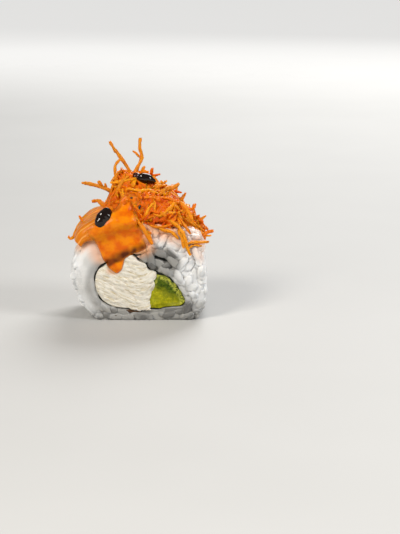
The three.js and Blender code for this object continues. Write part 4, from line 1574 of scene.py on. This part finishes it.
# %% Strands drawn along their paths
def smooth_path(corners, count):
    """Evenly counted points on a smooth curve through the corners."""
    corners = np.array(corners, float)
    if len(corners) < 3:
        return corners[0] + np.linspace(0, 1, count)[:, None] * (corners[-1] - corners[0])
    ends = np.vstack([2 * corners[0] - corners[1], corners, 2 * corners[-1] - corners[-2]])
    path = []
    for place in np.linspace(0, len(corners) - 1, count):
        k = min(int(place), len(corners) - 2)
        t = place - k
        a, b, c, d = ends[k:k + 4]
        path.append(0.5 * (2 * b + (c - a) * t + (2 * a - 5 * b + 4 * c - d) * t ** 2
                           + (3 * b - a - 3 * c + d) * t ** 3))
    return np.array(path)


PATH_STEP = 1.1
SHRINKAGE = 0.88  # a strand's section is narrower than its drawn width by this much


def paths_piece(name, strands):
    """One object whose edges are the strands' paths, with a width and a tone at each point."""
    points, edges, widths, tones, dryness = [], [], [], [], []
    for width, corners in strands:
        reach = np.linalg.norm(np.diff(np.array(corners, float), axis=0), axis=1).sum()
        path = smooth_path(corners, max(5, round(reach / PATH_STEP)))
        edges += [(len(points) + k, len(points) + k + 1) for k in range(len(path) - 1)]
        points += list(path)
        widths += [SHRINKAGE * width * MM] * len(path)
        tones += [rng.uniform(0.45, 1.0)] * len(path)
        dryness += list(0.3 + 0.6 * smooth_step(34, 46, path[:, 2]))
    return new_piece(name, points, [], edges=edges, width=widths, tone=tones, dry=dryness)


def path_strands_tree():
    """The edges of a piece become strands with bodies."""
    tree, enter, leave = new_tree("path_strands", Finish="Material", Blisters=0.6 * MM)
    paths = add_node(tree, "GeometryNodeMeshToCurve", {"Mesh": enter.outputs["Geometry"]}, 0)
    body = add_node(tree, "GeometryNodeGroup", {
        "Geometry": paths, "Blisters": enter.outputs["Blisters"]}, 0, node_tree=strand_body)
    real = add_node(tree, "GeometryNodeRealizeInstances", {"Geometry": body}, 0)
    coated = add_node(tree, "GeometryNodeSetMaterial", {
        "Geometry": real, "Material": enter.outputs["Finish"]}, 0)
    tree.links.new(coated, leave.inputs[0])
    return tree


standing_strands = run_tree(paths_piece("strand_paths", STANDING_STRANDS), path_strands_tree(),
                            "standing_strands", Finish=fried_carrot, Blisters=0.7 * MM)
serve(standing_strands, "fried_carrot")


# %% [markdown]
# ## Orange sauce
# A thick warm orange sauce has run from the heap down over the left half of the cut face, and
# ends in a tongue over the cream cheese. It is a smooth closed film: bright orange where it is
# thick, brownish where the seaweed darkens it from below, and nearly gone at its rim. A fluid
# simulation would be hard to steer to this outline, so the outline is drawn as seen in the
# photograph, and rays along that view lay it on what is below. Averaging lets the film bridge
# small gaps, and the deep step where the heap ends, as a thick sauce does.

# %% The sauce as seen from the camera
# Its x and z in mm, where the view crosses an upright plane near the cut face.
SAUCE_OUTLINE = [
    (-18.2, 31.6), (-17.6, 28.6), (-15.4, 26.4), (-13.4, 23.6), (-12.2, 21.2), (-10.6, 18.5),
    (-8.7, 16.7), (-7.2, 16.0), (-5.4, 17.4), (-4.7, 19.6), (-4.2, 21.2), (-1.6, 22.7),
    (0.8, 23.6), (2.8, 24.8), (3.4, 27.0), (3.0, 29.4), (2.6, 32.0), (1.8, 34.0), (0.4, 36.0),
    (0.4, 38.6), (1.6, 41.4), (1.8, 44.6), (-0.6, 46.2), (-3.9, 45.4), (-5.8, 42.4),
    (-7.4, 39.4), (-9.4, 38.0), (-11.2, 36.6), (-13.0, 35.0), (-15.6, 33.8)]
SAUCE_GRID = 0.42
VIEW_PLANE = -13.5
RAY_START = 0.1  # metres before that plane
VIEW = Vector((0, math.cos(CAMERA_ELEVATION), -math.sin(CAMERA_ELEVATION)))


def view_reach(flat, *pieces):
    """How far past the cut face's plane the view through each point meets a piece, in mm."""
    graph = bpy.context.evaluated_depsgraph_get()
    trees = [BVHTree.FromObject(piece, graph) for piece in pieces]
    reach = []
    for x, z in flat:
        start = Vector((x, VIEW_PLANE, z)) * MM - VIEW * RAY_START
        hits = [tree.ray_cast(start, VIEW) for tree in trees]
        travel = min((hit[3] for hit in hits if hit[0]), default=RAY_START)
        reach.append([travel / MM - RAY_START / MM])
    return np.array(reach)


sauce_line = resampled(smooth_path(SAUCE_OUTLINE + SAUCE_OUTLINE[:1], 200)[:-1], 0.4)
flat, faces = filled([sauce_line], SAUCE_GRID)
clear_away(ground)
rim = line_distance(flat, sauce_line)
print("the sauce covers", round(line_area(sauce_line)), "square mm of the view")

# %% The sauce laid over the topping
on_heap = smooth_step(30, 36, flat[:, 1])
met = view_reach(flat, pressed_rice, rice_grains, torn_cheese, salmon_slice, matted_strands)
tight = np.minimum(eased(met, faces, 2), met + 0.1)
spanned = eased(np.minimum(met, eased(met, faces, 40)), faces, 20) - 0.25
meeting = smooth_step(6, 3, np.abs(flat[:, 1] - 38.5))
bridged = eased(np.minimum(met, eased(met, faces, 220)), faces, 40) - 0.2
spanned = spanned + (bridged - spanned) * meeting[:, None]
right_side = smooth_step(-4, -0.5, flat[:, 0]) * smooth_step(25, 28, flat[:, 1])
hugging = np.maximum(0.6 * on_heap * (1 - meeting), 0.8 * right_side)
share = (smooth_step(0, 2.0, rim) * (1 - hugging))[:, None]
reach = tight * (1 - share) + spanned * share
lying = np.insert(flat, 1, VIEW_PLANE, axis=1) + reach * np.array(VIEW)
print("the sauce reaches", round(np.ptp(lying[:, 1])), "mm back from the cut face")

# %% The sauce's body and its brown band
rounding = 1.1 + 2.2 * on_heap + 1.6 * right_side
lip = np.sqrt(np.clip(1 - (1 - np.clip(rim / rounding, 0, 1)) ** 2, 0, 1))
waves = soft_noise(lying, 2.6, 71) + 0.5 * soft_noise(lying, 1.2, 72)
FILM_THICKNESS = 0.42
FILM_DIP = 0.35  # how far the underside sinks into what is below, so that no gap shows
thickness = lip * (FILM_THICKNESS + 0.1 * on_heap + 0.12 * waves)
view = np.array(VIEW)
outside_points = lying - view * thickness[:, None]
inside_points = lying + view * (FILM_DIP * lip)[:, None]
rim_count = len(sauce_line)
inner_ids = np.where(np.arange(len(flat)) < rim_count, np.arange(len(flat)),
                     np.arange(len(flat)) + len(flat) - rim_count)
film_points = np.vstack([outside_points, inside_points[rim_count:]])
film_faces = [*faces, *inner_ids[faces[:, ::-1]]]
over_seaweed = np.interp(
    flat[:, 0], [-10.2, -8.7, -5.4, -1.3, 0.6], [19.4, 20.6, 22.0, 23.5, 24.5])
above = flat[:, 1] - over_seaweed
patchy = 0.85 + 0.35 * soft_noise(lying, 1.3, 73)
seaweed_below = smooth_step(3.2, 0.4, above) * smooth_step(-1.9, -0.8, above)
seaweed_below = np.clip(seaweed_below * patchy, 0, 1)
softer = np.maximum(smooth_step(-12, -15, flat[:, 0]), right_side)
fading = smooth_step(0, 0.8 + 2.6 * softer, rim)
fading *= 1 - 0.85 * smooth_step(41, 44.5, flat[:, 1] + 1.2 * soft_noise(lying, 1.6, 74))
depth = np.concatenate([fading, fading[rim_count:]])
brown = np.concatenate([seaweed_below, seaweed_below[rim_count:]])


# %% Orange sauce
def sauce_finish():
    """A thick cloudy sauce: orange, brown over the seaweed, and clearer where it thins out."""
    # Oil and starch beaten together: cloudy, saturated in depth, with broad smooth highlights.
    finish, tree, shader, brown, depth = new_finish(
        "warm_orange_sauce", "brown", "depth", Roughness=0.26, IOR=1.34, Specular_IOR_Level=0.35,
        Subsurface_Weight=0.3, Subsurface_Radius=(1.0, 0.4, 0.03), Subsurface_Scale=1.2 * MM)
    cloudy = add_node(tree, "ShaderNodeMapRange", {
        "Value": lumps(tree, 3.0, detail=4), "From Min": 0.4, "From Max": 0.62}, "Result")
    shallow = add_node(tree, "ShaderNodeMath", {0: 1.0, 1: depth}, 0, operation="SUBTRACT")
    paint(tree, shader, "#da6202", [(cloudy, "#ea8602"), (brown, "#5a2604"),
                                    (shallow, "#ec9030")],
          relief=lumps(tree, 1.0, detail=4), height=0.16, strength=0.6)
    cover = add_node(tree, "ShaderNodeMapRange", {"Value": depth, "From Max": 0.8}, "Result")
    tree.links.new(cover, shader.inputs["Alpha"])
    return finish


orange_sauce = new_piece("orange_sauce", film_points, film_faces, sauce_finish(),
                         depth=depth, brown=brown)
serve(orange_sauce, "orange_glaze")

# %% [markdown]
# ## Dark sauce
# Two thick beads of dark soy glaze rest on the topping. The sauce is so thick that it stands up
# in rounded drops, nearly black, with a red-brown glow only where it is thin, and its mirror-like
# skin shows the lights as crisp white streaks. Small drops, two smears that have soaked into the
# rice, and clear beads of frying oil lie around them. Every drop is made the same way: a few
# balls run together, as drops do, and rest where the view meets the topping.

# %% Dark sauce
def dark_sauce_finish(name, deep, glow, roughness):
    """Thick syrup: deep in colour where it stands high, and glowing a little where it is thin."""
    # Sugar syrup is as smooth as glass, so lamps show in it as small sharp white shapes.
    finish, tree, shader, thin = new_finish(name, "thin", Roughness=roughness, IOR=1.48)
    paint(tree, shader, deep, [(thin, glow)], relief=lumps(tree, 1.6, detail=1), height=0.1,
          strength=0.35)
    return finish


OWN_REST, MEAN_REST = 0.7, 0.3  # shares of a ball's own depth and of the whole drop's
BALL_LIFT = 0.35  # how far a ball stands out from there, as a share of its half depth


def drop(name, lumps_mm, square, finish):
    """A drop of sauce made of balls that run together where the view meets the topping.

    Each ball is (x, z on the cut face's plane, half width, half depth, half height), in mm."""
    met = view_reach(np.array(lumps_mm)[:, :2], pressed_rice, torn_cheese, salmon_slice,
                     matted_strands, orange_sauce)
    print(name, "rests", np.round(met[:, 0], 1), "mm behind the cut face")
    rows = np.hstack([lumps_mm, OWN_REST * met + MEAN_REST * met.mean()])
    between = [a + (b - a) * share for a, b in zip(rows, rows[1:]) for share in (0.3, 0.5, 0.7)]
    balls = []
    for x, z, wide, deep, high, reach in [*rows, *between]:
        middle = np.array([x, VIEW_PLANE, z]) + (reach - BALL_LIFT * deep) * np.array(VIEW)
        balls.append(ball("ball", middle, (wide, deep, high)))
    points, faces, normals = even_squares(
        name + "_squares", *[piece.data for piece in balls], square=square, rounds=14)
    clear_away(*balls)
    points = points + normals * (0.22 * soft_noise(points, 1.5, 75))[:, None]
    sag = np.linalg.norm(points - eased(points, faces, 60), axis=1)
    return new_piece(name, points, faces, finish, thin=smooth_step(0.5, 1.3, sag))


dark_sauce = dark_sauce_finish("thick_soy_glaze", "#150803", "#6b2408", 0.07)
thin_sauce = dark_sauce_finish("thin_soy_glaze", "#3a1406", "#8f3e10", 0.08)
soaked_sauce = dark_sauce_finish("soaked_soy_glaze", "#4a3018", "#7d5a36", 0.25)
oil = dark_sauce_finish("clear_frying_oil", "#dd6a06", "#ee8e20", 0.04)
left_bead = drop("left_bead", [
    (-12.4, 33.7, 2.2, 1.3, 2.3), (-11.5, 35.3, 2.7, 1.5, 2.6), (-10.5, 36.9, 2.2, 1.3, 2.2)],
    0.22, dark_sauce)
serve(left_bead, "dark_sauce", "dark_sauce_left")
top_bead = drop("top_bead", [
    (1.0, 49.8, 1.8, 1.4, 1.5), (2.6, 49.3, 2.4, 1.7, 1.8), (4.2, 48.6, 1.6, 1.2, 1.1)],
    0.22, dark_sauce)
serve(top_bead, "dark_sauce", "dark_sauce_top")
SMALL_DROPS = {
    "top_drop": (thin_sauce, [(-0.7, 50.3, 1.6, 1.7, 1.35)]),
    "front_speck": (dark_sauce, [(-2.2, 42.4, 0.5, 0.5, 0.4)]),
    "leaning_speck": (dark_sauce, [(0.4, 38.8, 0.45, 0.5, 0.7), (0.8, 39.5, 0.4, 0.4, 0.5)]),
    "low_smear": (soaked_sauce, [(-3.8, 3.3, 1.4, 0.25, 0.4), (-1.8, 2.9, 1.7, 0.25, 0.45),
                                 (0.1, 3.0, 1.1, 0.2, 0.35)]),
    "low_speck": (soaked_sauce, [(-8.0, 1.5, 1.0, 0.25, 0.3)]),
    "left_oil": (oil, [(-4.6, 40.6, 0.7, 0.5, 0.5)]),
    "upper_oil": (oil, [(3.2, 43.9, 0.7, 0.5, 0.5), (3.9, 43.4, 0.5, 0.4, 0.4)]),
    "middle_oil": (oil, [(-1.9, 39.9, 0.5, 0.4, 0.45)]),
    "right_oil": (oil, [(8.6, 37.4, 0.6, 0.5, 0.5)])}
for name, (finish, lumps_mm) in SMALL_DROPS.items():
    serve(drop(name, lumps_mm, 0.16, finish), "orange_glaze" if finish is oil else "dark_sauce")

# %% [markdown]
# ## Floor and light
# The roll stands on a plain pale floor. One floor lit only by lamps near the roll would turn dark
# towards the horizon in a low view, so it glows a little where it is far away. A large soft box
# at the upper left gives the rice its white and the sauce its long highlights, a second one
# lifts the right side, and a third lights the back. The room gives the food a quiet grey light,
# and is drawn paler behind it.

# %% Floor
LIT_MIDDLE = (0.05, 0.2, 0)  # where the lamps light the floor most evenly, in metres
DIMMING = (0.35, 0.95)  # metres from there between which the lamps' light falls off


def floor_finish():
    """Pale paper that is lit a little more the further it is from the roll."""
    # Matt paper: no highlights, and only soft shadows under the roll.
    finish, tree, shader = new_finish(
        "pale_floor", Roughness=0.75, Emission_Color=linear("#f1f0ee"))
    paint(tree, shader, "#b9b8b5", [(lumps(tree, 60), "#bebdba")])
    place = add_node(tree, "ShaderNodeTexCoord", result="Object")
    distance = add_node(tree, "ShaderNodeVectorMath", {0: place, 1: LIT_MIDDLE}, "Value",
                        operation="DISTANCE")
    glow = add_node(tree, "ShaderNodeMapRange", {
        "Value": distance, "From Min": DIMMING[0], "From Max": DIMMING[1], "To Max": 0.74},
        "Result", interpolation_type="SMOOTHSTEP")
    tree.links.new(glow, shader.inputs["Emission Strength"])
    return finish


FLOOR_REACH = 6000  # mm to each side
corners = [(x * FLOOR_REACH, y * FLOOR_REACH, 0) for x, y in ((-1, -1), (1, -1), (1, 1), (-1, 1))]
floor = new_piece("floor", corners, [(0, 1, 2, 3)], floor_finish())
print("floor laid")


# %% Lamps and room
ROLL_MIDDLE = Vector((0, 0, 25)) * MM


def soft_box(name, place, size, power, tint):
    """A square lamp that looks at the middle of the roll, its place and size in mm."""
    data = bpy.data.lights.new(name, "AREA")
    data.shape, data.size, data.energy = "SQUARE", size * MM, power
    data.color = linear(tint)[:3]
    lamp = new_object(name, data)
    lamp.location = Vector(place) * MM
    way = ROLL_MIDDLE - lamp.location
    lamp.rotation_euler = way.to_track_quat("-Z", "Y").to_euler()


soft_box("key_light", (-380, -480, 480), 250, 4.3, "#fffaf2")
soft_box("side_light", (460, -260, 330), 240, 2.0, "#ffffff")
soft_box("back_light", (240, 740, 620), 500, 8.5, "#ffffff")

room = bpy.data.worlds.new("room")
room.use_nodes = True
bpy.context.scene.world = room
room.node_tree.nodes.clear()
seen = add_node(room.node_tree, "ShaderNodeLightPath", result="Is Camera Ray")
strength = add_node(room.node_tree, "ShaderNodeMapRange", {
    "Value": seen, "To Min": 0.34, "To Max": 1.4}, "Result")
walls = add_node(room.node_tree, "ShaderNodeBackground", {
    "Color": linear("#c4c6c9"), "Strength": strength}, 0)
add_node(room.node_tree, "ShaderNodeOutputWorld", {"Surface": walls})
bpy.context.scene.view_settings.view_transform = "Standard"
